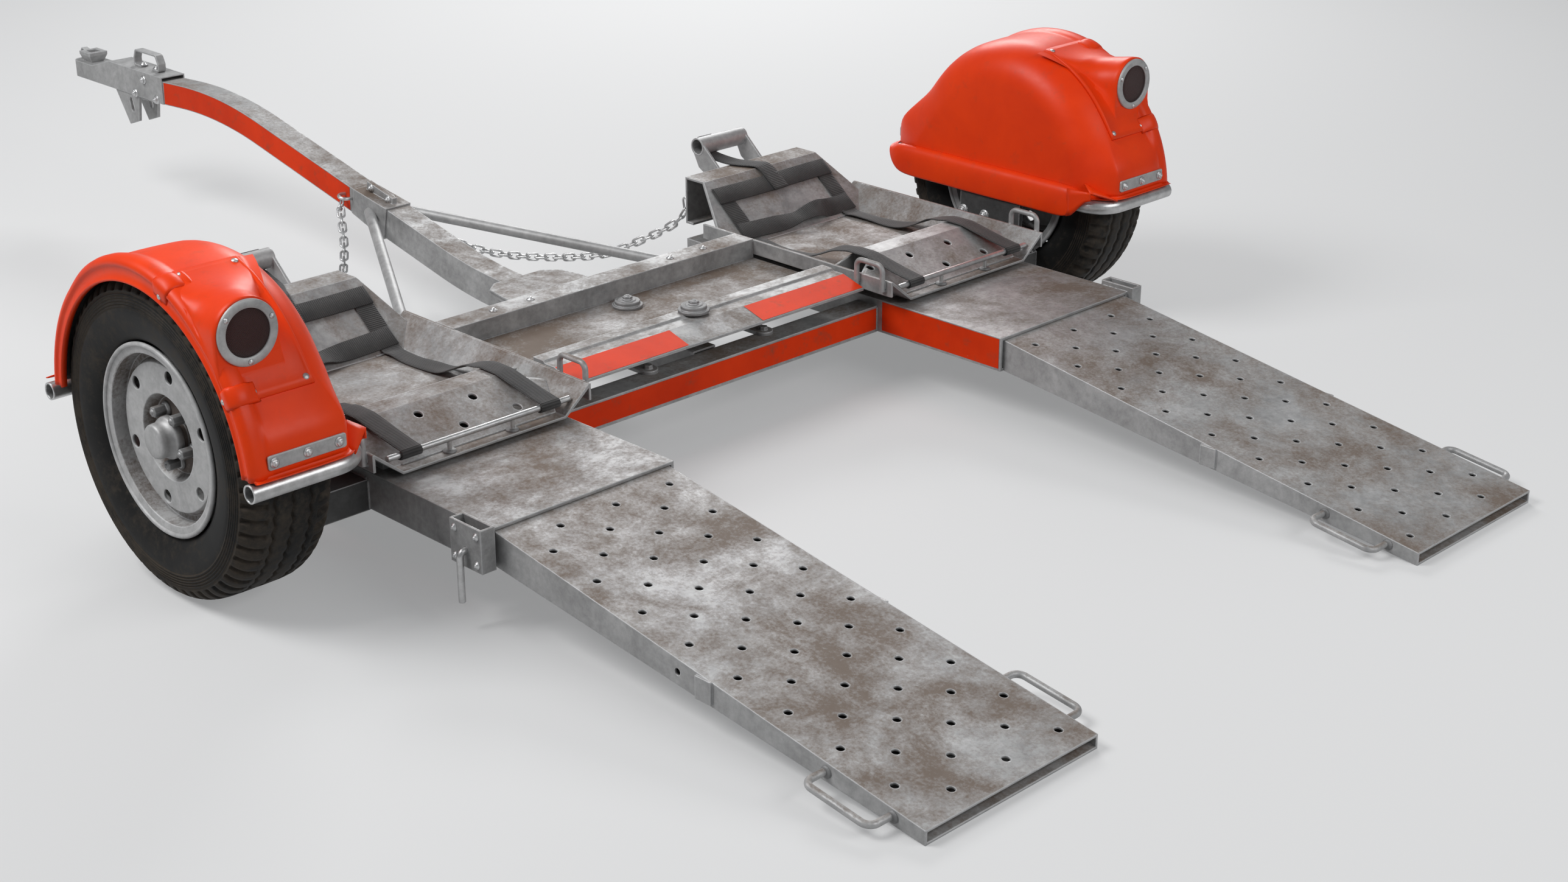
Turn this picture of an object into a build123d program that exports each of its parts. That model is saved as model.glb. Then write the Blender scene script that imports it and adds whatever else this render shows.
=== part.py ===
from build123d import *
import math
import os

# Car tow dolly: two road wheels, a deck with two wheel pans, two loading ramps and a long tongue.
# Millimetres. X to the dolly's right, Y forward to the coupler, Z up.
# The origin is on the floor, under the middle of the overall box.
# Right-hand pieces are modelled, and the left-hand ones are their mirror images.

# Overall sizes
overall_length = 3947.0
ramp_reach = 1524.0
axle_y = ramp_reach - overall_length / 2
nose_y = overall_length / 2
pan_x = 683.0
seat_gap = 0.3

# Wheels
tyre_radius = 302.5
tyre_width = 188.0
tread_width = 152.0
bead_radius = 164.0
rim_lip_radius = 179.0
rim_width = 162.0
rim_sheet = 4.0
rim_flange = 8.0
wheel_x = 1150.0
disc_reach = 60.0
disc_gutter_radius = 144.0
disc_recess_radius = 82.0
disc_recess_depth = 22.0
vent_radius = 12.5
vent_circle = 122.0
vent_count = 6
vent_start = 41.0
lug_circle = 52.0
lug_count = 5
lug_start = 54.0
lug_radius = 9.0
lug_height = 28.0
hub_radius = 33.5
hub_flange_radius = 70.0
hub_flange_thickness = 10.0
hub_length = 80.0
hub_nose = 24.0
hub_cap_radius = 26.0
hub_cap_reach = 90.0
spindle_radius = 16.0
spindle_end_gap = 6.0
running_clearance = 0.05

# Ramp sleeves
sleeve_width = 432.0
sleeve_height = 75.0
sleeve_wall = 6.0
sleeve_lip = 36.0
sleeve_top_z = 190.0
sleeve_mouth = 511.0
sleeve_front = 468.0

# Ramps
ramp_width = 410.0
ramp_overlap = 66.0
ramp_play = 1.0
ramp_wall = 4.0
ramp_mouth_depth = 68.0
ramp_tail_depth = 26.0
ramp_hole_radius = 7.5
ramp_hole_pitch_x = 129.0
ramp_hole_pitch_y = 57.4
ramp_hole_rows = 18
ramp_hole_columns = 3
ramp_hole_tail_margin = 46.0
ramp_handle_radius = 6.5
ramp_handle_length = 140.0
ramp_handle_reach = 48.0
ramp_handle_tail_gap = 139.0
ramp_stop_length = 37.0
ramp_stop_height = 42.0
ramp_stop_thickness = 4.0
ramp_stop_tail_gap = 480.0
pin_hole_tail_gap = 544.0

# Lock box and pin
lock_box_size = 87.0
lock_box_depth = 31.0
lock_box_wall = 4.0
lock_box_foot = 3.0
lock_box_overhang = 15.0
lock_box_top_rise = 11.0
pin_radius = 6.5
pin_clearance = 0.08
pin_z = 152.0
pin_drop = 96.0
pin_stand_off = 14.0
pin_engagement = 24.0

# Cross beams and axle
beam_wall = 4.0
rear_beam_depth = 60.0
rear_beam_height = 61.0
rear_beam_rear = 152.0
rear_beam_top_z = 174.0
spindle_plate_thickness = 12.0
spindle_plate_front = 80.0
spindle_plate_rear = 104.0
spindle_plate_top_z = 345.0
spindle_plate_foot_z = 120.0
front_beam_depth = 61.0
front_beam_rear = 202.0
deck_top_z = 257.0
deck_edge_clearance = 16.0

# Deck
deck_sheet = 6.0
deck_plate_z = 213.0
deck_edge_front = -36.0
deck_edge_step = -66.0
deck_bevel_start = -100.0
deck_bevel_end = -163.0
deck_bevel_drop = 18.0
groove_depth = 5.0
disc_plate_radius = 33.0
disc_plate_thickness = 14.0
disc_nut_radius = 11.0
disc_nut_height = 8.0
front_disc_y = 150.0
rear_disc_y = -62.0
tab_x = 165.0
tab_setback = 30.0
tab_width = 40.0
tab_thickness = 8.0
tab_length = 100.0
tab_bolt_radius = 9.0
tab_bolt_height = 8.0

# Wheel pans
pan_floor_z = 206.0
pan_floor_half = 190.0
pan_top_half = 251.0
pan_wall_top_z = 256.0
pan_sheet = 5.0
pan_flange_height = 34.0
pan_rear = 231.0
pan_front = 368.0
bearer_width = 50.0
bearer_places = (-140.0, 60.0, 300.0)

# Front stop of a pan
stop_foot_y = 290.0
stop_ridge_y = 438.0
stop_front_y = 503.0
stop_ridge_z = 328.0
stop_ridge_half = 187.0
stop_lip = 26.0
stop_side_inset = 14.0
stop_wall_foot_z = 214.0
stop_trim_width = 100.0
stop_trim_length = 116.0

# Rear wedge of a pan
wedge_ridge_z = 261.0
wedge_ridge_y = -78.0
wedge_front_y = -28.0
wedge_foot_y = -203.0
wedge_ridge_half = 146.0
wedge_knee_share = 0.6885
wedge_hole_radius = 9.0
wedge_hole_share = 0.5436
wedge_upper_row_y = -108.0
wedge_lower_row_y = -162.0

# Strap rod, handles and roller
rod_radius = 6.0
rod_leg_radius = 4.5
rod_z = 232.0
rod_y = -214.0
rod_half = 214.0
rod_foot_x = 74.0
rod_boss_radius = 10.8
rod_boss_height = 4.0
handle_radius = 6.0
handle_front_y = -132.0
handle_rear_y = -209.0
handle_rise = 58.0
handle_foot_z = 232.0
roller_radius = 21.5
roller_wall = 4.0
roller_length = 150.0
roller_y = 582.0
roller_z = 364.0
arm_width = 50.0
arm_thickness = 6.0
arm_foot_z = 270.0

# Webbing net
strap_width = 46.0
strap_thickness = 3.0
strap_gap = 1.0
net_half = 163.0
net_top = 26.0
net_foot = 178.0
net_dip_y = 150.0

# Tongue
tongue_width = 64.0
tongue_height = 61.0
tongue_wall = 4.0
rear_tube_width = 64.0
rear_tube_height = 73.0
tongue_low_z = 143.0
tongue_crest_z = 378.0
tongue_crest_setback = 729.0
tongue_rise_y = 635.4
tongue_front_setback = 353.0
tongue_fall = 0.054
tongue_bend = 1300.0
collar_share = 0.3917
collar_length = 134.0
collar_wall = 4.0
clamp_height = 22.0
clamp_thickness = 6.0
clamp_length = 104.0
gusset_thickness = 10.0
gusset_sink = 3.0
gusset_half_front = 66.0
gusset_half_rear = 113.0
gusset_front_y = 530.0
gusset_shoulder_half = 101.0
gusset_shoulder_y = 501.0
gusset_rear_y = 436.0
brace_radius = 13.0
brace_foot_y = 272.0
brace_foot_z = 138.0

# Coupler
coupler_width = 70.0
coupler_wall = 3.0
coupler_length = 466.0
coupler_step_setback = 201.0
coupler_bend_setback = 105.0
coupler_top_z = 405.0
coupler_bottom_z = 333.0
nose_top_z = 377.0
ball_radius = 25.8
ball_depth = 30.0
ball_setback = 50.0
nose_round = 24.0
cup_half = 27.0
cup_setback = 8.0
cup_rim = 8.0
cup_rise = 27.0
cup_foot_half = 19.0
cup_wall = 4.0
latch_width = 18.0
latch_rise = 30.0
grip_setback = 355.0
grip_half = 52.0
grip_height = 44.0
grip_width = 22.0
grip_thickness = 5.0
tab_plate_top_half = 68.0
tab_plate_overlap = 20.0
tab_plate_foot_front = 5.0
tab_plate_foot_rear = 52.0
tab_plate_setback = 273.0
tab_plate_drop = 87.0
tab_plate_thickness = 8.0
tab_slot_radius = 8.0
tab_slot_setback = 24.0
tab_slot_length = 40.0

# Fender
fender_inner_x = 1022.0
fender_outer_x = 1262.0
fender_sheet = 4.0
fender_foot_z = 335.0
fender_arch_radius = 297.0
fender_arch_y = -18.0
fender_arch_z = 305.0
fender_centre_y = -16.0
fender_rear_y = -346.0
fender_front_y = 334.0
fender_crown_z = 648.0
fender_shoulder_y = 274.0
fender_shoulder_z = 490.0
fender_knee_z = 395.0
fender_corner_x = 44.0
fender_corner_y = 96.0
fender_lip = 12.0
lip_inside = 22.0
ledge_z = 350.0
apron_x = 1003.0
apron_foot_z = 278.0
apron_rear_y = -246.0
apron_front_y = 294.0
bar_radius = 17.0
bar_wall = 3.0
bar_bend = 60.0
bar_x = 1024.0
bar_rear_y = -338.0
bar_front_y = 326.0

# Lamp
lamp_x = 1196.0
lamp_y = -271.0
lamp_z = 568.0
lamp_radius = 58.0
lamp_thickness = 8.0
hood_radius = 62.0
hood_length = 150.0
hood_plate_x = 1161.0
hood_plate_y = -187.0
hood_plate_width = 142.0
hood_plate_length = 200.0
hood_plate_thickness = 3.0
hood_plate_foot_z = 466.0
plate_x = 1147.0
plate_z = 362.0
plate_length = 158.0
plate_height = 25.0
plate_thickness = 4.0

# Safety chain, with each point given by x, its share of the way from the stop to the eye, and z
chain_radius = 7.0
chain_eye_gap = 82.0
chain_route = [(32.0, 1.0, 256.0), (72.0, 0.967, 232.0), (125.0, 0.845, 168.0),
               (195.0, 0.6955, 122.0), (272.0, 0.5199, 104.0), (375.0, 0.2896, 120.0),
               (455.0, 0.105, 180.0), (503.0, 0.0, 262.0)]

# Values worked out from the sizes above
tail_y = axle_y - ramp_reach
sleeve_foot_z = sleeve_top_z - sleeve_height
sleeve_inner_x = pan_x - sleeve_width / 2
sleeve_outer_x = pan_x + sleeve_width / 2
mouth_y = axle_y - sleeve_mouth
sleeve_end_y = axle_y + sleeve_front
pan_flange_x = pan_x - pan_top_half - pan_sheet
pan_outer_x = pan_x + pan_top_half + pan_sheet
deck_edge_half = pan_flange_x - deck_edge_clearance
beam_rear_y = axle_y - rear_beam_rear
tongue_end_y = beam_rear_y + rear_beam_depth
rear_tube_top_z = tongue_low_z + rear_tube_height / 2
gusset_top_z = rear_tube_top_z + gusset_thickness
front_beam_rear_y = axle_y + front_beam_rear
stub_end_x = apron_x + fender_sheet
bar_z = fender_foot_z - fender_sheet - bar_radius
box_mid_y = mouth_y - lock_box_overhang + lock_box_size / 2
ball_y = nose_y - ball_setback
box_outer_x = sleeve_outer_x + lock_box_depth
pan_wall_rise = (pan_wall_top_z - pan_floor_z) / (pan_top_half - pan_floor_half)
wedge_knee_half = pan_floor_half + wedge_knee_share * (pan_top_half - pan_floor_half)
wedge_knee_z = pan_floor_z + (wedge_knee_half - pan_floor_half) * pan_wall_rise
wedge_hole_x = wedge_ridge_half + wedge_hole_share * (wedge_knee_half - wedge_ridge_half)
wedge_hole_pitch = wedge_hole_x / 1.5
ramp_inner_x = pan_x - ramp_width / 2
ramp_outer_x = pan_x + ramp_width / 2
ramp_end_y = mouth_y + ramp_overlap
ramp_mouth_top_z = sleeve_top_z - sleeve_wall - ramp_play
ramp_mouth_foot_z = ramp_mouth_top_z - ramp_mouth_depth
ramp_tongue_foot_z = sleeve_foot_z + sleeve_wall + ramp_play
ramp_top_slope = (ramp_mouth_top_z - ramp_tail_depth) / (mouth_y - tail_y)
ramp_foot_slope = ramp_mouth_foot_z / (mouth_y - tail_y)
ramp_stop_y = tail_y + ramp_stop_tail_gap
pin_hole_y = tail_y + pin_hole_tail_gap
nose_reach = overall_length - ramp_reach
tongue_crest_y = nose_reach - tongue_crest_setback
tongue_front_y = nose_reach - tongue_front_setback
tongue_run = tongue_crest_y - tongue_rise_y
tongue_slope = (tongue_crest_z - tongue_low_z) / tongue_run
collar_y = tongue_rise_y + collar_share * tongue_run
chain_hang_y = stop_front_y + chain_radius + 0.2
chain_eye_y = collar_y + chain_eye_gap
chain_run = chain_eye_y - chain_hang_y
chain_points = [(x, chain_hang_y + share * chain_run, z) for x, share, z in chain_route]


def lengthwise(x):
    """Plane across X: its own x runs along Y and its own y runs up."""
    return Plane.YZ.offset(x)


def crosswise(y):
    """Plane across Y: its own x runs along X, its own y runs up, and it faces backward."""
    return Plane.XZ.offset(-y)


def level(z):
    return Plane.XY.offset(z)


def save(name, solid):
    solid.label = name
    export_step(solid, f"parts/{name}.step")


def save_pair(name, solid):
    save(f"{name}_right", solid)
    save(f"{name}_left", mirror(solid, about=Plane.YZ))


# Road wheels

def make_tyre():
    half = tyre_width / 2
    tread = tread_width / 2
    bead_half = rim_width / 2 - rim_flange - seat_gap
    bead_top = rim_lip_radius + 3
    belly = (bead_radius + tyre_radius) / 2
    shoulder = tyre_radius - 12
    with BuildPart() as tyre:
        with BuildSketch(Plane.XY):
            with BuildLine():
                Polyline((-bead_half, bead_top), (-bead_half, bead_radius),
                         (bead_half, bead_radius), (bead_half, bead_top))
                Spline((bead_half, bead_top), (half, belly), (tread, shoulder))
                Polyline((tread, shoulder), (tread - 14, tyre_radius),
                         (14 - tread, tyre_radius), (-tread, shoulder))
                Spline((-tread, shoulder), (-half, belly), (-bead_half, bead_top))
            make_face()
        revolve(axis=Axis.X, revolution_arc=360)
    return tyre.part.moved(Location((wheel_x, axle_y, tyre_radius)))


def make_rim():
    half = rim_width / 2
    seat = bead_radius - seat_gap
    inside = seat - rim_sheet
    back = disc_reach - rim_sheet
    recess_x = disc_reach - disc_recess_depth
    hub_back = recess_x - rim_sheet - hub_flange_thickness
    hub_front = recess_x + hub_nose
    with BuildPart() as rim:
        with BuildSketch(Plane.XY):
            with BuildLine():
                Polyline((-half, rim_lip_radius), (3 - half, rim_lip_radius),
                         (rim_flange - half, seat), (half - rim_flange, seat),
                         (half - 3, rim_lip_radius), (half, rim_lip_radius),
                         (half - 4, inside), (4 - half, inside), close=True)
            make_face()
            with BuildLine():
                Polyline((disc_reach - 14, inside + 1), (disc_reach - 14, disc_gutter_radius + 3),
                         (disc_reach, disc_gutter_radius - 5), (disc_reach, disc_recess_radius),
                         (recess_x, disc_recess_radius - 10), (recess_x, spindle_radius + 4),
                         (recess_x - rim_sheet, spindle_radius + 4),
                         (recess_x - rim_sheet, disc_recess_radius - 6),
                         (back, disc_recess_radius + 4), (back, disc_gutter_radius - 8),
                         (back - 14, disc_gutter_radius), (back - 14, inside + 1), close=True)
            make_face()
        revolve(axis=Axis.X, revolution_arc=360)
        with BuildSketch(lengthwise(disc_reach + 1)):
            with PolarLocations(vent_circle, vent_count, start_angle=vent_start):
                Circle(vent_radius)
        extrude(amount=-(rim_sheet + 12), mode=Mode.SUBTRACT)
        with BuildSketch(lengthwise(hub_back)):
            Circle(hub_flange_radius)
        extrude(amount=hub_flange_thickness)
        with BuildSketch(lengthwise(hub_front - hub_length)):
            Circle(hub_radius)
        extrude(amount=hub_length)
        with BuildSketch(lengthwise(hub_front)):
            Circle(hub_cap_radius)
        extrude(amount=hub_cap_reach - hub_front)
        with BuildSketch(lengthwise(recess_x)):
            with PolarLocations(lug_circle, lug_count, start_angle=lug_start):
                RegularPolygon(radius=lug_radius, side_count=6)
        extrude(amount=lug_height)
        with BuildSketch(lengthwise(hub_front - hub_length)):
            Circle(spindle_radius + running_clearance)
        extrude(amount=hub_length, mode=Mode.SUBTRACT)
    return rim.part.moved(Location((wheel_x, axle_y, tyre_radius)))


save_pair("tyre", make_tyre())
save_pair("rim", make_rim())


# Lower frame: ramp sleeves with lock boxes, rear beam and axle arms

with BuildPart() as sleeve:
    with BuildSketch(crosswise(sleeve_end_y)):
        with Locations((pan_x, sleeve_top_z - sleeve_height / 2)):
            Rectangle(sleeve_width, sleeve_height)
            Rectangle(sleeve_width - 2 * sleeve_wall, sleeve_height - 2 * sleeve_wall,
                      mode=Mode.SUBTRACT)
        with Locations((pan_x, sleeve_foot_z + sleeve_wall / 2)):
            Rectangle(sleeve_width - 2 * sleeve_lip, sleeve_wall, mode=Mode.SUBTRACT)
    extrude(amount=sleeve_end_y - mouth_y)
    for bearer_y in bearer_places:
        with BuildSketch(level(sleeve_top_z)):
            with Locations((pan_x, axle_y + bearer_y)):
                Rectangle(2 * pan_floor_half, bearer_width)
        extrude(amount=pan_floor_z - pan_sheet - sleeve_top_z)
    with BuildSketch(level(sleeve_foot_z + lock_box_foot)):
        with Locations((sleeve_outer_x + lock_box_depth / 2, box_mid_y)):
            Rectangle(lock_box_depth, lock_box_size)
            Rectangle(lock_box_depth - 2 * lock_box_wall, lock_box_size - 2 * lock_box_wall,
                      mode=Mode.SUBTRACT)
    extrude(amount=sleeve_height - lock_box_foot + lock_box_top_rise)
    with BuildSketch(lengthwise(box_outer_x + 1)):
        with Locations((box_mid_y, pin_z)):
            Circle(pin_radius + pin_clearance)
    extrude(amount=sleeve_outer_x - sleeve_wall - box_outer_x - 2, mode=Mode.SUBTRACT)
save_pair("ramp_sleeve", sleeve.part)

beam_mid_y = beam_rear_y + rear_beam_depth / 2
beam_mid_z = rear_beam_top_z - rear_beam_height / 2
with BuildPart() as rear_beam:
    with BuildSketch(lengthwise(-sleeve_inner_x)):
        with Locations((beam_mid_y, beam_mid_z)):
            Rectangle(rear_beam_depth, rear_beam_height)
            Rectangle(rear_beam_depth - 2 * beam_wall, rear_beam_height - 2 * beam_wall,
                      mode=Mode.SUBTRACT)
    extrude(amount=2 * sleeve_inner_x)
save("rear_beam", rear_beam.part)

plate_face_x = stub_end_x + spindle_plate_thickness
spindle_end_x = wheel_x + disc_reach - disc_recess_depth + hub_nose - spindle_end_gap
with BuildPart() as arm:
    with BuildSketch(lengthwise(sleeve_outer_x)):
        with Locations((beam_mid_y, beam_mid_z)):
            Rectangle(rear_beam_depth, rear_beam_height)
    extrude(amount=stub_end_x - sleeve_outer_x)
    with BuildSketch(lengthwise(stub_end_x)):
        with BuildLine():
            Polyline((beam_rear_y, spindle_plate_foot_z),
                     (axle_y + spindle_plate_front - 30, spindle_plate_foot_z),
                     (axle_y + spindle_plate_front, spindle_plate_foot_z + 60),
                     (axle_y + spindle_plate_front, spindle_plate_top_z),
                     (axle_y - spindle_plate_rear, spindle_plate_top_z),
                     (axle_y - spindle_plate_rear, rear_beam_top_z + 30),
                     (beam_rear_y, rear_beam_top_z), close=True)
        make_face()
    extrude(amount=spindle_plate_thickness)
    with BuildSketch(lengthwise(plate_face_x)):
        with Locations((axle_y, tyre_radius)):
            Circle(spindle_radius)
    extrude(amount=spindle_end_x - plate_face_x)
save_pair("axle_arm", arm.part)


# Ramps, from the sleeve's mouth down to the floor

def u_rod(plane, width, reach, radius, bend):
    """Round rod bent to a U, its two legs rising from the plane's own x axis."""
    with BuildPart() as rod:
        with BuildLine(plane) as path:
            FilletPolyline((-width / 2, 0), (-width / 2, reach), (width / 2, reach),
                           (width / 2, 0), radius=bend)
        with BuildSketch(Plane(origin=path.line @ 0, z_dir=path.line % 0)):
            Circle(radius)
        sweep(path=path.line)
    return rod.part


def ramp_top(y):
    return ramp_tail_depth + (y - tail_y) * ramp_top_slope


def ramp_middle(y):
    return (ramp_top(y) + (y - tail_y) * ramp_foot_slope) / 2


handle_mid_y = tail_y + ramp_handle_tail_gap
handle_tilt = math.atan((ramp_top_slope + ramp_foot_slope) / 2)
handle_along = Vector(0, math.cos(handle_tilt), math.sin(handle_tilt))
handle_rods = []
for root_x, handle_side in ((ramp_outer_x - 2, 1), (ramp_inner_x + 2, -1)):
    root = Vector(root_x, handle_mid_y, ramp_middle(handle_mid_y))
    plane = Plane(origin=root, x_dir=handle_along,
                  z_dir=handle_along.cross(Vector(handle_side, 0, 0)))
    handle_rods.append(u_rod(plane, ramp_handle_length, ramp_handle_reach + 2,
                             ramp_handle_radius, 18))

with BuildPart() as ramp:
    with BuildSketch(lengthwise(ramp_inner_x)):
        with BuildLine():
            Polyline((tail_y, 0), (tail_y, ramp_tail_depth), (mouth_y, ramp_mouth_top_z),
                     (ramp_end_y, ramp_mouth_top_z), (ramp_end_y, ramp_tongue_foot_z),
                     (mouth_y - ramp_play, ramp_tongue_foot_z),
                     (mouth_y - ramp_play, ramp_mouth_foot_z), close=True)
        make_face()
    extrude(amount=ramp_width)
    for handle_rod in handle_rods:
        add(handle_rod)
    with BuildSketch(lengthwise(ramp_inner_x + ramp_wall)):
        with BuildLine():
            Polyline((tail_y - 1, ramp_wall), (tail_y - 1, ramp_tail_depth - ramp_wall),
                     (tail_y, ramp_tail_depth - ramp_wall),
                     (mouth_y, ramp_mouth_top_z - ramp_wall),
                     (ramp_end_y + 1, ramp_mouth_top_z - ramp_wall),
                     (ramp_end_y + 1, ramp_tongue_foot_z + ramp_wall),
                     (mouth_y - 12, ramp_tongue_foot_z + ramp_wall), (tail_y, ramp_wall),
                     close=True)
        make_face()
    extrude(amount=ramp_width - 2 * ramp_wall, mode=Mode.SUBTRACT)
    for row in range(ramp_hole_rows):
        row_y = tail_y + ramp_hole_tail_margin + row * ramp_hole_pitch_y
        shift = ramp_hole_pitch_x / 4 * (1 if row % 2 else -1)
        with BuildSketch(level(sleeve_top_z)):
            with Locations((pan_x + shift, row_y)):
                with GridLocations(ramp_hole_pitch_x, 1, ramp_hole_columns, 1):
                    Circle(ramp_hole_radius)
        extrude(amount=ramp_middle(row_y) - sleeve_top_z, mode=Mode.SUBTRACT)
    with BuildSketch(lengthwise(ramp_outer_x + 1)):
        with Locations((pin_hole_y, ramp_middle(pin_hole_y)), (box_mid_y, pin_z)):
            Circle(pin_radius + pin_clearance)
    extrude(amount=-ramp_wall - 2, mode=Mode.SUBTRACT)
    for stop_x, stop_side in ((ramp_outer_x, 1), (ramp_inner_x, -1)):
        with BuildSketch(lengthwise(stop_x)):
            with Locations((ramp_stop_y, ramp_middle(ramp_stop_y))):
                Rectangle(ramp_stop_length, ramp_stop_height)
        extrude(amount=stop_side * ramp_stop_thickness)
save_pair("ramp", ramp.part)

pin_knee_x = box_outer_x + pin_stand_off
with BuildPart() as lock_pin:
    with BuildLine(crosswise(box_mid_y)) as pin_path:
        FilletPolyline((ramp_outer_x - pin_engagement, pin_z), (pin_knee_x, pin_z),
                       (pin_knee_x, pin_z - pin_drop), radius=12)
    with BuildSketch(Plane(origin=pin_path.line @ 0, z_dir=pin_path.line % 0)):
        Circle(pin_radius)
    sweep(path=pin_path.line)
save_pair("lock_pin", lock_pin.part)


# Upper deck

with BuildPart() as front_beam:
    with BuildSketch(lengthwise(-pan_flange_x)):
        with Locations((front_beam_rear_y + front_beam_depth / 2, (deck_top_z + gusset_top_z) / 2)):
            Rectangle(front_beam_depth, deck_top_z - gusset_top_z)
            Rectangle(front_beam_depth - 2 * beam_wall, deck_top_z - gusset_top_z - 2 * beam_wall,
                      mode=Mode.SUBTRACT)
    extrude(amount=2 * pan_flange_x)
save("front_beam", front_beam.part)

edge_front_y = axle_y + deck_edge_front
with BuildPart() as deck_plate:
    with BuildSketch(level(deck_plate_z - deck_sheet)):
        with Locations((0, (edge_front_y + front_beam_rear_y) / 2)):
            Rectangle(2 * pan_flange_x, front_beam_rear_y - edge_front_y)
    extrude(amount=deck_sheet)
save("deck_plate", deck_plate.part)

edge_top_z = deck_top_z - 2
groove_z = edge_top_z - groove_depth
step_y = axle_y + deck_edge_step
bevel_y = axle_y + deck_bevel_start
bevel_end_y = axle_y + deck_bevel_end
bevel_end_z = groove_z - deck_bevel_drop
with BuildPart() as deck_edge:
    with BuildSketch(lengthwise(-deck_edge_half)):
        with BuildLine():
            Polyline((edge_front_y, deck_plate_z - deck_sheet), (edge_front_y, edge_top_z),
                     (step_y, edge_top_z), (step_y - 6, groove_z), (bevel_y, groove_z),
                     (bevel_end_y, bevel_end_z), (bevel_end_y, bevel_end_z - deck_sheet),
                     (bevel_y, groove_z - deck_sheet),
                     (edge_front_y - deck_sheet, groove_z - deck_sheet),
                     (edge_front_y - deck_sheet, deck_plate_z - deck_sheet), close=True)
        make_face()
    extrude(amount=2 * deck_edge_half)
save("deck_edge", deck_edge.part)


def make_disc(y, foot_z):
    with BuildPart() as disc:
        with BuildSketch(level(foot_z)):
            with Locations((0, y)):
                Circle(disc_plate_radius)
        extrude(amount=disc_plate_thickness)
        with BuildSketch(level(foot_z + disc_plate_thickness)):
            with Locations((0, y)):
                RegularPolygon(radius=disc_nut_radius, side_count=6)
        extrude(amount=disc_nut_height)
    return disc.part


save("front_pivot_disc", make_disc(axle_y + front_disc_y, deck_plate_z))
save("rear_pivot_disc", make_disc(axle_y + rear_disc_y, edge_top_z))

with BuildPart() as deck_tab:
    with BuildSketch(level(rear_beam_top_z)):
        with Locations((tab_x, beam_rear_y + tab_setback + tab_length / 2)):
            SlotOverall(tab_length, tab_width, rotation=90)
    extrude(amount=tab_thickness)
    with BuildSketch(level(rear_beam_top_z + tab_thickness)):
        with Locations((tab_x, beam_rear_y + tab_setback + tab_width / 2)):
            RegularPolygon(radius=tab_bolt_radius, side_count=6)
    extrude(amount=tab_bolt_height)
    with BuildSketch(level(rear_beam_top_z)):
        with Locations((tab_x, edge_front_y - deck_sheet + 13)):
            Rectangle(tab_width, 26)
    extrude(amount=deck_plate_z - deck_sheet - rear_beam_top_z)
save_pair("deck_tab", deck_tab.part)


# Wheel pans

pan_foot_z = pan_floor_z - pan_sheet
wall_foot_z = pan_wall_top_z - pan_flange_height
side_mid_y = axle_y + (handle_front_y + handle_rear_y) / 2
side_rods = []
for handle_x in (pan_flange_x - handle_radius + 0.5, pan_outer_x + handle_radius - 0.5):
    side_plane = Plane(origin=(handle_x, side_mid_y, handle_foot_z), x_dir=(0, 1, 0),
                       z_dir=(1, 0, 0))
    side_rods.append(u_rod(side_plane, handle_front_y - handle_rear_y, handle_rise,
                           handle_radius, 16))

with BuildPart() as pan:
    with BuildSketch(crosswise(axle_y + pan_front)):
        with BuildLine():
            Polyline((pan_x - pan_top_half - pan_sheet, pan_wall_top_z),
                     (pan_x - pan_top_half, pan_wall_top_z),
                     (pan_x - pan_floor_half, pan_floor_z), (pan_x + pan_floor_half, pan_floor_z),
                     (pan_x + pan_top_half, pan_wall_top_z),
                     (pan_x + pan_top_half + pan_sheet, pan_wall_top_z),
                     (pan_x + pan_top_half + pan_sheet, wall_foot_z),
                     (pan_x + pan_top_half, wall_foot_z),
                     (pan_x + pan_top_half, pan_wall_top_z - 1.6 * pan_sheet),
                     (pan_x + pan_floor_half + 2, pan_foot_z),
                     (pan_x - pan_floor_half - 2, pan_foot_z),
                     (pan_x - pan_top_half, pan_wall_top_z - 1.6 * pan_sheet),
                     (pan_x - pan_top_half, wall_foot_z),
                     (pan_x - pan_top_half - pan_sheet, wall_foot_z), close=True)
        make_face()
    extrude(amount=pan_front + pan_rear)
    for side_rod in side_rods:
        add(side_rod)
save_pair("pan", pan.part)

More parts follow.
